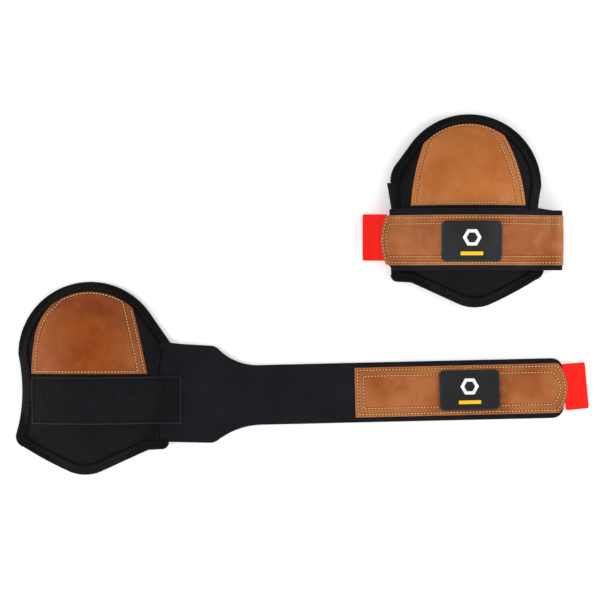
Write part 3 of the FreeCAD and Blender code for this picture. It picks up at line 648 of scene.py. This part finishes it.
def napped(name, dark, light):
    """Loop tape: upright ribs of matted nylon loops."""
    f = Finish(name, {"Specular IOR Level": 0.05, "Sheen Weight": 0.015, "Sheen Roughness": 0.45})
    rib, fuzz = f.bands("X", 1.9, 1.6), f.clouds(0.7, 4, 0.75)
    colour = f.stain(dark, light, f.weighed(rib, 0.55, fuzz, 0.6), 0.3, 0.95)
    colour = f.stain(colour, light, f.clouds(11, 4, 0.65), 0.5, 0.75, 0, 0.5)
    colour = f.stain(colour, (60, 60, 63), f.stored("edge"), 0.5, 1.5, 0.5, 0.0)
    # painted shade: the loops turn near black along the hem rows, in place of the shade in the pressed hem
    # groove
    colour = f.stain(colour, (5, 5, 6), f.stored("seam"), 0.4, 1.4, 0.8, 0.0)
    return f.done(colour, (fuzz, 0.72, 0.9), (rib, 0.12), (fuzz, 0.22))


def hooked(name, dark, light):
    """Hook tape: rows of tiny stiff hooks."""
    f = Finish(name, {"Specular IOR Level": 0.15})
    rows = f.math("MULTIPLY", f.bands("X", 1.5), f.bands("Y", 1.3, 0.5))
    return f.done(f.stain(dark, light, rows, 0.1, 0.8), (f.clouds(4, 2), 0.42, 0.6), (rows, 0.5))


def moulded(name, dark, light, gloss, stipple):
    """Moulded rubber with a fine matt stipple and a faint bloom."""
    f = Finish(name, {"Specular IOR Level": 0.25, "Coat Weight": 0.04, "Coat Roughness": 0.4})
    colour = f.stain(dark, light, f.clouds(12, 4, 0.6), 0.4, 0.75, 0, 0.6)
    return f.done(colour, (f.clouds(5, 3), gloss - 0.05, gloss + 0.12),
                  (f.clouds(0.5, 2), stipple), (f.clouds(7, 2), 0.08))


def brushed(name, dark, light):
    """Brushed lining."""
    f = Finish(name, {"Specular IOR Level": 0.1, "Sheen Weight": 0.05, "Sheen Roughness": 0.6})
    fuzz = f.clouds(0.8, 4, 0.7)
    colour = f.stain(dark, light, fuzz, 0.35, 0.7)
    colour = f.stain(colour, light, f.clouds(22, 3), 0.4, 0.7, 0, 0.4)
    return f.done(colour, (fuzz, 0.78, 0.95), (fuzz, 0.12), (f.clouds(14, 2), 0.3))


def thread(name, dark, light):
    """Twisted sewing thread."""
    f = Finish(name, {"Specular IOR Level": 0.25, "Sheen Weight": 0.04})
    twist = f.bands("X", 0.42, 0.2, 35)
    colour = f.stain(dark, light, twist, 0.1, 0.9)
    colour = f.stain(colour, dark, f.clouds(7, 2), 0.45, 0.75, 0, 0.5)
    return f.done(colour, (f.clouds(1.5, 2), 0.5, 0.68), (twist, 0.06))


CAP_LEATHER = {OPEN: leather("cap_leather", (122, 48, 6), (144, 66, 14), (168, 94, 40), 0.40),
               CLOSED: leather("bright_cap_leather", (170, 92, 36), (184, 108, 52), (200, 130, 78), 0.42)}
STRAP_LEATHER = leather("strap_leather", (142, 70, 30), (168, 98, 54), (196, 134, 92), 0.46)
NEOPRENE = knit("neoprene", (16, 17, 21), (33, 34, 40), 0.62)
COVER = knit("cover_cloth", (13, 13, 16), (26, 26, 30), 0.8)
BINDING = woven("binding_tape", (5, 5, 6), (20, 20, 21), 0.85, 0.66)
LOOP_TAPE = napped("loop_tape", (9, 10, 12), (30, 31, 34))
HOOK_TAPE = hooked("hook_tape", (12, 12, 13), (40, 40, 42))
RUBBER = moulded("patch_rubber", (22, 23, 26), (32, 33, 36), 0.5, 0.03)
WHITE = moulded("print_white", (238, 238, 234), (225, 225, 220), 0.45, 0.02)
YELLOW = moulded("print_yellow", (240, 190, 30), (228, 176, 26), 0.45, 0.02)
RED = woven("red_webbing", (222, 20, 14), (252, 46, 34), 1.15, 0.55, 0, 0.05)
LINING = brushed("lining", (27, 27, 30), (58, 58, 62))
TAN_THREAD = thread("tan_thread", (196, 152, 92), (240, 206, 148))
BLACK_THREAD = thread("black_thread", (4, 4, 5), (28, 28, 30))
RED_THREAD = thread("red_thread", (214, 20, 14), (252, 50, 38))


def declare(item, carrier, slot, *nodes, **sheet):
    """Body that carries a piece, or a blend's two bodies, start and end; its slot, CAD nodes and flat size. The
    piece is parented to the body, a blend's piece is baked where it stands, and the CAD nodes are hidden. The
    slot, the flat size and the other sheet keywords, and a blend's bodies and points, are not used.
    """
    if isinstance(carrier, str):
        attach(item, carrier)
    else:
        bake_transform(item)
    if nodes:
        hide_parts(*nodes)


# ---------------------------------------------------------------- padded cover, sewn and swollen
LOOP_X0, LOOP_X1, LOOP_Y0, LOOP_Y1 = -62.5, 98.0, -75.0, -24.2
PUFF = {"quality": 6, "vertex_group_mass": "held", "use_pressure": True, "uniform_pressure_force": 4.0,
        "tension_stiffness": 12, "compression_stiffness": 12, "shear_stiffness": 5, "bending_stiffness": 0.6}
PUFF_FRAMES, PUFF_LIMIT = 20, 1.8


def split_cover(out):
    """The cover's outline as bottom, top, left and right lines."""
    crown = trace(COVER_EDGE, closed=True, out=out)
    places = [(-71.0, -99.3), (-55.0, 53.2), (55.0, 53.2), (75.0, -99.5)]
    low_left, high_left, high_right, low_right = (
        int(np.argmin(np.linalg.norm(crown - place, axis=1))) for place in places)

    def run(first, last):
        count = len(crown)
        return crown[[(first + k) % count for k in range((last - first) % count + 1)]]

    return (run(low_left, low_right), run(high_right, high_left)[::-1],
            run(high_left, low_left)[::-1], run(low_right, high_right))


def mesh_points(mesh):
    """A mesh's vertices, in metres."""
    return np.array([vertex.co[:] for vertex in mesh.vertices])


def move_points(mesh, points):
    """Put a mesh's vertices at points in metres."""
    mesh.vertices.foreach_set("co", points.reshape(-1))
    mesh.update()


def make_cover():
    """Foam and outer cover of one pad as a closed form, swollen by simulation between its seams."""
    plan, distance = boundary_patch(*split_cover(0.0), step=3.4)
    flat, away = plan.reshape(-1, 2), distance.reshape(-1)
    fall = edge_round(away, 1.4)
    upper = np.column_stack([flat, face_height(flat, TOP) - fall])
    lower = np.column_stack([flat, face_height(flat, INSIDE) + 1.5 + fall * 0.4])
    cover = add_object("open_pad_cover", np.concatenate([upper, lower]), shell_faces(*distance.shape), COVER)

    bottom, top, left, right = cap_lines(OPEN)
    loop = rectangle_lines(LOOP_X0 + 2.5, 74.0, LOOP_Y0 + 2.5, LOOP_Y1 - 2.5)
    seams = resample_all([left, right, top, bottom, *loop[:3]], 1.0)
    held = np.flatnonzero((near_line(flat, seams) < 1.9) | (away < BINDING_IN))
    group = cover.vertex_groups.new(name="held")
    group.add(held.tolist() + list(range(len(flat), 2 * len(flat))), 1.0, "REPLACE")
    start = mesh_points(cover.data)
    cloth = cover.modifiers.new("puff", "CLOTH")
    for key, value in PUFF.items():
        setattr(cloth.settings, key, value)
    cloth.settings.effector_weights.gravity = 0.0
    cloth.collision_settings.use_self_collision = False
    scene = bpy.context.scene
    for number in range(1, PUFF_FRAMES + 1):
        scene.frame_set(number)
    swollen = cover.evaluated_get(bpy.context.evaluated_depsgraph_get())
    move = mesh_points(swollen.to_mesh()) - start
    swollen.to_mesh_clear()
    cover.modifiers.clear()
    cover.vertex_groups.clear()
    scene.frame_set(1)
    size, limit = np.linalg.norm(move, axis=1), PUFF_LIMIT * MM
    allowed = limit * np.tanh(size / limit) / np.maximum(size, 1e-9)
    move_points(cover.data, start + move * allowed[:, None])
    return cover


def learn_relief(cover):
    """Lets everything sewn on the cover follow its swollen shape."""
    tree = BVHTree.FromObject(cover, bpy.context.evaluated_depsgraph_get())
    plain = face_height(CUP.points, TOP)
    extra = np.zeros(len(plain))
    for number, (x, y) in enumerate(CUP.points):
        hit = tree.ray_cast(Vector((x * MM, y * MM, 0.2)), Vector((0, 0, -1)))[0]
        if hit is not None:
            extra[number] = hit.z / MM - plain[number]
    extra *= np.clip((near_line(CUP.points, trace(COVER_EDGE, closed=True)) - 4.0) / 6.0, 0, 1)
    CUP.learn(np.clip(extra, 0, 2.2))


def refine(item):
    """One level of subdivision, applied."""
    item.modifiers.new("smooth", "SUBSURF").levels = 1
    mesh = bpy.data.meshes.new_from_object(item.evaluated_get(bpy.context.evaluated_depsgraph_get()))
    item.modifiers.clear()
    item.data = mesh


open_cover = make_cover()
learn_relief(open_cover)
refine(open_cover)
closed_cover = link_object("closed_pad_cover", open_cover.data.copy())
closed_cover.data.flip_normals()
for side, item in ((OPEN, open_cover), (CLOSED, closed_cover)):
    move_points(item.data, to_space(side, mesh_points(item.data) / MM) * MM)
    declare(item, NAME[side] + "_pad", "neoprene", NAME[side] + "_outer_shell", NAME[side] + "_foam_core")


# ---------------------------------------------------------------- pieces on both pads
def make_lining(side):
    """Brushed lining inside the cup."""
    name = NAME[side]
    patch = boundary_patch(*split_cover(-2.0), step=3.0)
    relief = pressed([], uneven=0.1, seed=3.0)
    item = sheet_piece(name + "_pad_lining", patch, inside_surface(side), -1.5, 0.0, 0.5, LINING, relief)
    declare(item, name + "_pad", "lining", name + "_lining",
            flat=(0.150, 0.203), held="stretched", area=0.0285, rests_on=[name + "_pad_cover"])


def make_binding(side):
    """Woven tape folded over the cup's edge, from one ear of the seam round to the other, and its zigzag."""
    name, zigzag_at = NAME[side], -6.4
    over = [-BINDING_IN, -8.85, -8.5, -7.6, zigzag_at, -5.2, -4.0, -2.8, -1.8, -1.0]
    path = HIGH_EAR[side] + CROWN_EDGE + LOWER_EDGE + LOW_EAR
    lines = {out: trace(path, 1.6, out=out) for out in over + [0.0, BINDING_OUT]}
    way = way_along(lines[0.0])
    swell = 0.16 * np.sin(way / 5.6 * 2 * math.pi) + 0.3 * np.array(
        [noise.noise(Vector((spot / 21, 0.5, 0))) for spot in way])
    profile = []
    for out in over:
        drop = 0.3 * (out == over[0]) + 0.28 * math.exp(-((out - zigzag_at) / 1.1) ** 2)
        profile.append(on_heights(CUP.height, lines[out], BINDING_TOP - drop + 0.35 * swell))
    rim_in, rim_out = lines[over[-1]], lines[BINDING_OUT]
    middle = (CUP.height(rim_in) + BINDING_TOP) / 2
    for turn in np.radians((70, 45, 20, -5, -30, -55, -78)):
        plan = rim_in + (rim_out - rim_in) * math.cos(turn)
        profile.append(np.column_stack([plan, middle + math.sin(turn) * (middle - 0.02)]))
    below = [(out, 1.48 - 0.25 * (out == over[0])) for out in over[::-1]]
    inner = [-8.5, zigzag_at, -4.0, -1.8]
    for out, depth in below + [(out, 0.25) for out in inner]:
        profile.append(np.column_stack([lines[out], face_height(lines[out], INSIDE) - depth]))
    profile += [on_heights(CUP.height, lines[out], 0.1) for out in inner[::-1]]
    rows, count = len(profile), len(way)
    ends = [list(range(first, rows * count, count)) for first in (0, count - 1)]
    item = add_object(name + "_binding_tape", to_space(side, np.concatenate(profile)),
                      grid_faces(rows, count, ring_rows=True).tolist() + ends, BINDING,
                      np.full(rows * count, 5.0))
    declare(item, name + "_pad", "binding", name + "_edge_binding",
            flat=(0.025, 0.585), held="folded", rests_on=[name + "_pad_cover"])
    zigzag = sew(name + "_binding_zigzag", [lines[zigzag_at][4:-4]], cup_surface(side), 1.35, BLACK_THREAD,
                 pitch=2.8, length=3.0, thick=0.8, swing=1.5)
    declare(zigzag, name + "_pad", "binding")


def cut_between(line, low, top):
    """Part of a side row from a height up to the row along the top, carried on straight to reach it."""
    line = resample(np.vstack([line, line[-1] + 6 * (line[-1] - line[-2])]), 0.8)
    roof = np.interp(line[:, 0], top[:, 0], top[:, 1])
    return line[(line[:, 1] > low) & (line[:, 1] < roof)]


def cap_rows(side):
    """Stitch rows of a cap: one on the side that is at the left in plan, two on the other, top and bottom."""
    _, top, left, right = cap_lines(side)
    one, two = (left, right)[::side]
    top, low = inset_line(top, -2.0), -19.0
    single = cut_between(inset_line(one, -4.6 * side), low, top)
    double = cut_between(inset_line(two, 9.2 * side), low, top)
    first, last = sorted((single[-1, 0], double[-1, 0]))
    return [single, double, inset_line(two, 2.8 * side)[1:-1],
            top[(top[:, 0] > first - 1.0) & (top[:, 0] < last + 1.0)],
            np.array(sorted([tuple(single[0]), tuple(double[0])]))]


def make_cap(side):
    """Leather cap over the top of the cup, with a ragged top edge and its stitch rows."""
    name = NAME[side]
    rows = cap_rows(side)
    plan, distance = boundary_patch(*cap_lines(side), step=1.5)
    plan[:, -1, 1] += [noise.noise(Vector((x / 3.1, 4.0, 0))) for x in plan[:, -1, 0]]
    relief = pressed(rows, 0.35, 1.0, 1.0 + side)
    item = sheet_piece(name + "_cap", (plan, distance), cup_surface(side), 0.0, CAP_THICK, 0.45,
                       CAP_LEATHER[side], relief, rows)
    declare(item, name + "_pad", "leather", name + "_leather_cap",
            flat=(0.135, 0.098), held="stretched", area=0.0105, rests_on=[name + "_pad_cover"])
    stitches = sew(name + "_cap_stitches", rows, cup_surface(side), CAP_THICK - 0.3, TAN_THREAD)
    declare(stitches, name + "_pad", "leather")


def make_loop(side):
    """Loop panel across the lower half of the cup; on the fastened pad it follows the fold."""
    name = NAME[side]
    x1 = LOOP_X1 if side == OPEN else TURN_END
    patch = boundary_patch(*rectangle_lines(LOOP_X0, x1, LOOP_Y0, LOOP_Y1), step=1.4)
    (low, _), (_, high), _, _ = rectangle_lines(LOOP_X0 + 2.4, x1 - 2.4, LOOP_Y0 + 2.4, LOOP_Y1 - 2.4)
    rows = [[low, (high[0], low[1]), high, (low[0], high[1]), low]]
    groove = pressed(rows, 0.45, 0.9, 5.0)

    def relief(flat, away):
        nap = 0.07 * np.sin(flat[:, 0] / 2.6 * 2 * math.pi + 1.5 * wobble(flat, 9.0, 1.0, 2.0))
        return groove(flat, away) + nap * np.clip((away - 3.4) / 1.5, 0, 1) - 0.1

    surface = cup_surface(side) if side == OPEN else turn_surface
    item = sheet_piece(name + "_loop_tape", patch, surface, 0.0, LOOP_THICK, 0.6, LOOP_TAPE, relief, rows)
    declare(item, name + "_pad", "loop_tape", name + "_loop_panel",
            flat=(0.180, 0.053), held="stretched", rests_on=[name + "_pad_cover"])
    hem = sew(name + "_loop_stitches", rows, surface, LOOP_THICK - 0.45, BLACK_THREAD,
              pitch=3.0, length=2.2, thick=0.8)
    declare(hem, name + "_pad", "loop_tape")


def make_seam(side):
    """Flat seam where the cover meets the wing."""
    row = inset_line(trace(SEAM, 2.0), 2.6)[2:-5]
    zigzag = sew(NAME[side] + "_seam_zigzag", [row], cup_surface(side), 0.05, BLACK_THREAD,
                 pitch=2.6, length=2.7, thick=0.8, swing=1.2)
    declare(zigzag, NAME[side] + "_pad", "neoprene")


for side in (OPEN, CLOSED):
    make_lining(side)
    make_seam(side)
    make_binding(side)
    make_cap(side)
    make_loop(side)

# ---------------------------------------------------------------- parts that both straps have
STRAP_HALF, STRAP_ROUND = 32.25, 12.0
FACING_HALF = 26.75
PATCH_LONG, PATCH_WIDE, PATCH_THICK = 65.0, 43.3, 2.5
PUCKER_FROM = (32.5, 21.6)
TAB_HALF = 25.0


def waist(start, via, turn, dip, end):
    """One edge of a wing, from its straight part through two bends to the strap."""
    return [start] + arc_through(start, via, turn, 8)[1:] + arc_through(turn, dip, end, 24) + [end]


WAIST_TOP = waist((130.5, 9.0), (134.8, 7.8), (138.5, 5.0), (158.0, -7.7), (184.0, -11.8))
WAIST_LOW = waist((130.5, -95.8), (134.8, -94.6), (138.5, -92.2), (158.0, -81.5), (184.0, -76.3))
WING_START = trace(SEAM, 2.7)


def facing_end(shoulder, tip, inset=0.0, back=0.0):
    """Bulging end of the leather facing from its lower to its upper long edge."""
    shoulder, tip, half = shoulder - back, tip - back, FACING_HALF - inset
    radius = max(4.0 - inset / 2, 1.5)
    lower = corner((shoulder - radius, radius - half), radius, 270, 340, 6)
    upper = corner((shoulder - radius, half - radius), radius, 20, 90, 6)
    return lower[:-1] + arc_through(lower[-1], (tip, 0.0), upper[0], 24) + upper


def make_facing(prefix, surface, base, start, shoulder, tip, patch_at, backs, extra_start, carrier, nodes,
                **sheet):
    """Leather facing of a strap, puckered round its patch, and its two stitch rows.

    It starts square at start - extra_start. Each row keeps its own distance from the bulging end.
    """
    end = facing_end(shoulder, tip)
    split = [index for index, point in enumerate(end) if point[1] > 3.0 - FACING_HALF][0]
    back = [index for index, point in enumerate(end) if point[1] < FACING_HALF - 3.0][-1]
    first = start - extra_start
    low = [(first, -FACING_HALF)] + end[:split + 1]
    high = [(first, FACING_HALF)] + end[back:][::-1]
    square = ("left",) if extra_start else ()
    patch = boundary_patch(low, high, [low[0], high[0]], end[split:back + 1], square=square)
    rows = []
    for inset, row_back in zip((2.9, 9.4), backs):
        half = FACING_HALF - inset
        row = facing_end(shoulder, tip, inset, row_back)
        if extra_start:
            rows.append(np.array([(first + 1, -half)] + row + [(first + 1, half)]))
        else:
            corner_at = (start + inset, -half)
            rows.append(np.array([corner_at] + row + [(start + inset, half), corner_at]))
    groove = pressed(rows, 0.38, 1.0, 11.0 + start)

    def relief(flat, away):
        reach = np.abs(flat - patch_at) - PUCKER_FROM
        pucker = wobble(flat * [0.35, 1.0], 4.2, 1.0, 5.0) - 0.35
        return groove(flat, away) + 0.55 * np.exp(-np.linalg.norm(np.maximum(reach, 0), axis=1) / 8) * pucker

    item = sheet_piece(prefix + "_facing", patch, surface, base, base + FACING_THICK, 0.45, STRAP_LEATHER,
                       relief, rows)
    declare(item, carrier, "leather", *nodes, rests_on=[prefix + "_strap_cloth"], **sheet)
    threads = sew(prefix + "_facing_stitches", rows, surface, base + FACING_THICK - 0.3, TAN_THREAD)
    declare(threads, carrier, "leather")


def make_hooks(prefix, surface, low, start, end, held):
    """Hook tape under the free end of a strap."""
    patch = boundary_patch(*rectangle_lines(start, end, -25, 25), step=2.0)
    item = sheet_piece(prefix + "_hook_sheet", patch, surface, low, low + HOOK_THICK, 0.4, HOOK_TAPE)
    declare(item, prefix + "_strap", "hook_tape", prefix + "_hook_tape",
            flat=(0.110, 0.050), held=held, rests_on=[prefix + "_strap_cloth"])


def make_badge(prefix, surface, low, at, side):
    """Rubber patch with a raised rim, a plain hexagon ring and a bar."""
    name, body = prefix + "_badge", prefix + "_strap"
    x, y = at
    lines = rounded_lines(x - PATCH_LONG / 2, x + PATCH_LONG / 2, y - PATCH_WIDE / 2, y + PATCH_WIDE / 2, 5.5)
    patch = boundary_patch(*lines, step=1.5, lines_u=(1.9, PATCH_LONG - 6.6), lines_v=(1.9, PATCH_WIDE - 6.6))

    def rim(flat, away):
        return 0.32 * np.exp(-((away - 1.9) / 0.75) ** 2) - 0.12

    def hexagon(radius):
        corners = corner((0, 0), radius, 0, 360, 7)
        points = [np.array(a) + (np.array(b) - np.array(a)) * n / 8
                  for a, b in zip(corners, corners[1:]) for n in range(8)]
        return np.array(points) * [side, 1] + [x, y + 4]

    print_low, print_high = low + PATCH_THICK - 0.2, low + PATCH_THICK + 0.4
    item = sheet_piece(name, patch, surface, low, low + PATCH_THICK, 0.8, RUBBER, rim)
    declare(item, body, "patch_rubber", prefix + "_patch")
    item = ring_piece(name + "_ring", hexagon(6.0), hexagon(10.0), surface, print_low, print_high, WHITE)
    declare(item, body, "print_white", prefix + "_patch_ring")
    patch = boundary_patch(*rectangle_lines(x - 12, x + 12, y - 15, y - 11), step=1.5)
    item = sheet_piece(name + "_bar", patch, surface, print_low, print_high, 0.25, YELLOW)
    declare(item, body, "print_yellow", prefix + "_patch_bar")


def make_tab(prefix, surface, low, start, length, shift, carrier):
    """Pull tab of folded webbing and its bar stitches."""
    y0, y1 = shift - TAB_HALF, shift + TAB_HALF
    patch = boundary_patch(*rounded_lines(start, start + length, y0, y1, 1.6), step=1.2)

    def ribs(flat, away):
        return 0.07 * np.sin(flat[:, 0] / 1.6 * 2 * math.pi) - 0.1

    item = sheet_piece(prefix + "_pull", patch, surface, low, low + TAB_THICK, 0.6, RED, ribs)
    declare(item, carrier, "red_webbing", prefix + "_tab_root", prefix + "_pull_tab",
            flat=(0.025, 0.050), held="folded", rests_on=[prefix + "_strap_cloth"])
    row = [(start + 9.2, y0 + 2), (start + 9.2, y1 - 2)]
    threads = sew(prefix + "_pull_stitches", [row], surface, low + TAB_THICK - 0.12, RED_THREAD,
                  pitch=2.6, length=2.0, thick=0.6)
    declare(threads, carrier, "red_webbing")


def cloth_sheet(name, lines, step, surface, low, seed, carrier, nodes, square, lines_u=(), **sheet):
    """Neoprene of a wing or strap."""
    patch = boundary_patch(*lines, step=step, square=square, lines_u=lines_u)
    relief = pressed([], uneven=0.1, seed=seed)
    item = sheet_piece(name, patch, surface, low, low + BAND, 1.3, NEOPRENE, relief)
    declare(item, carrier, "neoprene", *nodes, **sheet)


# ---------------------------------------------------------------- open pad: wing, strap and what is sewn on it
TILT = 1.33
STRAP_AT = np.array([278.0, -41.8])
STRAP_END = 232.0
WING_MEET = 118.0
STRAP_ON = ORIGIN[OPEN][:2] + STRAP_AT
OPEN_PATCH_AT = (131.0, 0.0)


def strap_to_pad(points):
    """Points on the open strap, measured from its fold, in the pad frame."""
    return turned_plan(points, TILT, STRAP_AT)


def hinge(body_a, body_b, surface, start, end):
    """Blend between two bodies, from one plan point of a surface to another."""
    return (body_a, body_b, *(tuple(surface(np.array([spot], float), np.zeros(1))[0] * MM)
                              for spot in (start, end)))


def split_line(line, x):
    """Line up to and from an x position."""
    line = np.array(line)
    y = np.interp(x, line[:, 0], line[:, 1])
    return np.vstack([line[line[:, 0] < x - 0.01], [x, y]]), np.vstack([[x, y], line[line[:, 0] > x + 0.01]])


def make_open_neoprene():
    """The wing beside the cup, and the wing's waist with the strap; they meet in the middle of the wing."""
    surface = cup_surface(OPEN)
    top_near, top_far = split_line([(78.5, 13.0), (100.0, 10.8)] + WAIST_TOP, WING_MEET)
    low_near, low_far = split_line([(75.5, -94.6), (100.0, -95.2)] + WAIST_LOW, WING_MEET)
    cut = [tuple(low_far[0]), tuple(top_far[0])]
    cloth_sheet("open_wing_cloth", (low_near, top_near, WING_START, cut), 1.9, surface, -BAND, 9.0,
                hinge("open_pad", "open_wing", surface, (99.0, -41.0), (106.0, -41.0)),
                ("open_wing_root", "open_wing_fold"), ("right",), flat=(0.045, 0.108), held="laid", area=0.0047)
    low_end, high_end, end = round_end(STRAP_END, -STRAP_HALF, STRAP_HALF, STRAP_ROUND)
    low, top = (np.vstack([far, strap_to_pad([(-5.0, y), (5.0, y)] + last)])
                for far, y, last in ((low_far, -STRAP_HALF, low_end), (top_far, STRAP_HALF, high_end)))
    cloth_sheet("open_strap_cloth", (low, top, cut, strap_to_pad(end)), 2.2, surface, -BAND, 9.0,
                hinge("open_wing", "open_strap", strap_surface, (-6.0, 0.0), (6.0, 0.0)),
                ("open_wing", "open_strap_fold", "open_strap"), ("left",),
                flat=(0.395, 0.105), held="laid", area=0.0290)


strap_surface = flat_surface(STRAP_ON, TILT, FLANGE_TOP)
make_open_neoprene()
make_facing("open", strap_surface, 0.0, 7.5, 229.2, 236.4, OPEN_PATCH_AT, (2.3, 7.6), 0.0, "open_strap",
            ["open_strap_facing"], flat=(0.230, 0.055), held="laid")
make_hooks("open", flat_surface(STRAP_ON, TILT, 0.0), 0.0, 112, 222, "laid")
make_badge("open", strap_surface, 1.2, OPEN_PATCH_AT, OPEN)
tab_surface = flat_surface(ORIGIN[OPEN][:2] + strap_to_pad([(238.2, 1.0)])[0], TILT + 4.0, 4.1)
make_tab("open", tab_surface, 0.0, -5.6, 25.0, 0.0,
         hinge("open_strap", "open_tab", tab_surface, (-2.6, 0.0), (2.6, 0.0)))

# ---------------------------------------------------------------- fastened pad: wing, fold, strap round the cup
FRONT_END = BEND_X + 88.5
UNDER_END = TURN_END + TURN_X + BEND_X


def closed_blend(body_a, body_b, start, end):
    """Blend between two bodies, from one point to another, in millimetres from the fastened pad's origin."""
    return (body_a, body_b, *(tuple((ORIGIN[CLOSED] + spot) * MM) for spot in (start, end)))


def closed_ways(node):
    """A CAD node's near end, far end and middle, as places on the fastened strap."""
    low, high = corners_mm(node) - ORIGIN[CLOSED]
    middle = ((2 * BEND_X - low[0] - high[0]) / 2, (low[1] + high[1]) / 2 - FRONT_Y)
    return BEND_X - high[0], BEND_X - low[0], middle


top = [(78.5, 13.0), (TURN_X, 4.0), (TURN_END, 4.0)] + WAIST_TOP + [(UNDER_END, FRONT_Y + STRAP_HALF)]
low = [(75.5, -94.6), (TURN_X, -94.0), (TURN_END, -94.0)] + WAIST_LOW + [(UNDER_END, FRONT_Y - STRAP_HALF)]
cloth_sheet("closed_wing_cloth", (low, top, WING_START, [low[-1], top[-1]]), 2.2, turn_surface, -BAND, 13.0,
            "closed_pad", ("closed_wing_root", "closed_wing_fold", "closed_under_strap"), ("right",),
            (8, 10, 12, 14, 16), flat=(0.193, 0.108), held="folded", area=0.0160)

around_bend = closed_blend("closed_pad", "closed_strap", (BEND_X, FRONT_Y, BEND_Z - BEND_INNER),
                           (BEND_X, FRONT_Y, BEND_Z + BEND_INNER))
start = -math.pi * BEND_PITCH
low_end, high_end, end = round_end(FRONT_END, -STRAP_HALF, STRAP_HALF, STRAP_ROUND)
first = [(start, -STRAP_HALF), (start, STRAP_HALF)]
lines = first[:1] + low_end, first[1:] + high_end, first, end
cloth_sheet("closed_strap_cloth", lines, 1.9, front_surface, 0.0, 13.0, around_bend,
            ("closed_strap_bend", "closed_front_strap"), ("left",),
            flat=(0.238, 0.0645), held="stretched", area=0.0151, rests_on=["closed_pad_cover"])
_, _, patch_at = closed_ways("closed_patch")
make_facing("closed", front_surface, BAND, 0.0, BEND_X + 91.0, BEND_X + 94.9, patch_at, (1.7, 5.2),
            math.radians(110) * BEND_PITCH, around_bend, ["closed_facing_bend", "closed_strap_facing"],
            flat=(0.236, 0.055), held="stretched")
near, far, _ = closed_ways("closed_hook_tape")
make_hooks("closed", front_surface, -HOOK_THICK, near, far, "stretched")
make_badge("closed", front_surface, BAND + 1.2, patch_at, CLOSED)
tab_y, tab_z = FRONT_Y + 3.0, FLANGE_TOP + FRONT_BASE + 3.3
make_tab("closed", front_surface, 2.6, FRONT_END, 26.5, 3.0,
         closed_blend("closed_strap", "closed_tab", (-93.0, tab_y, tab_z), (-98.2, tab_y, tab_z)))


# ---------------------------------------------------------------- floor, light and camera
def make_floor():
    """Plain white table."""
    mesh = bpy.data.meshes.new("table")
    reach, z = 20.0, -0.0003
    mesh.from_pydata([(-reach, -reach, z), (reach, -reach, z), (reach, reach, z), (-reach, reach, z)],
                     [], [(0, 1, 2, 3)])
    f = Finish("table", {"Specular IOR Level": 0.1, "Emission Color": (1, 1, 1, 1), "Emission Strength": 0.22})
    colour = f.add("MixRGB", {"Fac": f.clouds(400, 2), "Color1": (0.93, 0.93, 0.93, 1),
                              "Color2": (0.96, 0.96, 0.96, 1)})
    mesh.materials.append(f.done(colour, (f.clouds(90, 2), 0.82, 0.9)))
    link_object("table", mesh)


def add_light(name, place, size, power):
    """Soft rectangular light, aimed at the middle of the scene."""
    lamp = bpy.data.lights.new(name, "AREA")
    lamp.shape = "RECTANGLE"
    lamp.size, lamp.size_y = size
    lamp.energy = power
    item = link_object(name, lamp)
    item.location = place
    item.rotation_euler = (-Vector(place)).to_track_quat("-Z", "Y").to_euler()


def make_studio():
    """Bright walls, darker behind and overhead, so that only faces sloping to the sides catch a soft shine."""
    world = bpy.data.worlds.new("studio")
    world.use_nodes = True
    nodes, links = world.node_tree.nodes, world.node_tree.links
    split, both = nodes.new("ShaderNodeSeparateXYZ"), nodes.new("ShaderNodeMath")
    both.operation = "MULTIPLY"
    links.new(nodes.new("ShaderNodeTexCoord").outputs["Generated"], split.inputs[0])
    for number, (axis, limits) in enumerate((("Z", (0.6, 0.93, 1.2, 0.35)), ("Y", (0.1, 0.8, 1.0, 0.5)))):
        level = nodes.new("ShaderNodeMapRange")
        for socket, value in zip(("From Min", "From Max", "To Min", "To Max"), limits):
            level.inputs[socket].default_value = value
        links.new(split.outputs[axis], level.inputs["Value"])
        links.new(level.outputs[0], both.inputs[number])
    links.new(both.outputs[0], nodes["Background"].inputs["Strength"])
    nodes["Background"].inputs["Color"].default_value = (1, 1, 1, 1)
    bpy.context.scene.world = world
    bpy.context.scene.view_settings.view_transform = "Standard"


make_floor()
make_studio()
add_light("left_box", (-1.35, 0.0, 0.72), (0.5, 0.9), 9)
add_light("right_box", (1.35, 0.1, 0.72), (0.5, 0.9), 9)
add_light("near_box", (0.0, -1.3, 0.9), (1.6, 0.7), 6)

CAMERA_HEIGHT, SENSOR, VIEW_WIDTH = 4.0, 36.0, 0.648
camera = bpy.data.cameras.new("camera")
camera.sensor_width = SENSOR
camera.lens = CAMERA_HEIGHT * SENSOR / VIEW_WIDTH
camera_item = link_object("camera", camera)
camera_item.location = (-0.0024, -0.0058, CAMERA_HEIGHT)
bpy.context.scene.camera = camera_item
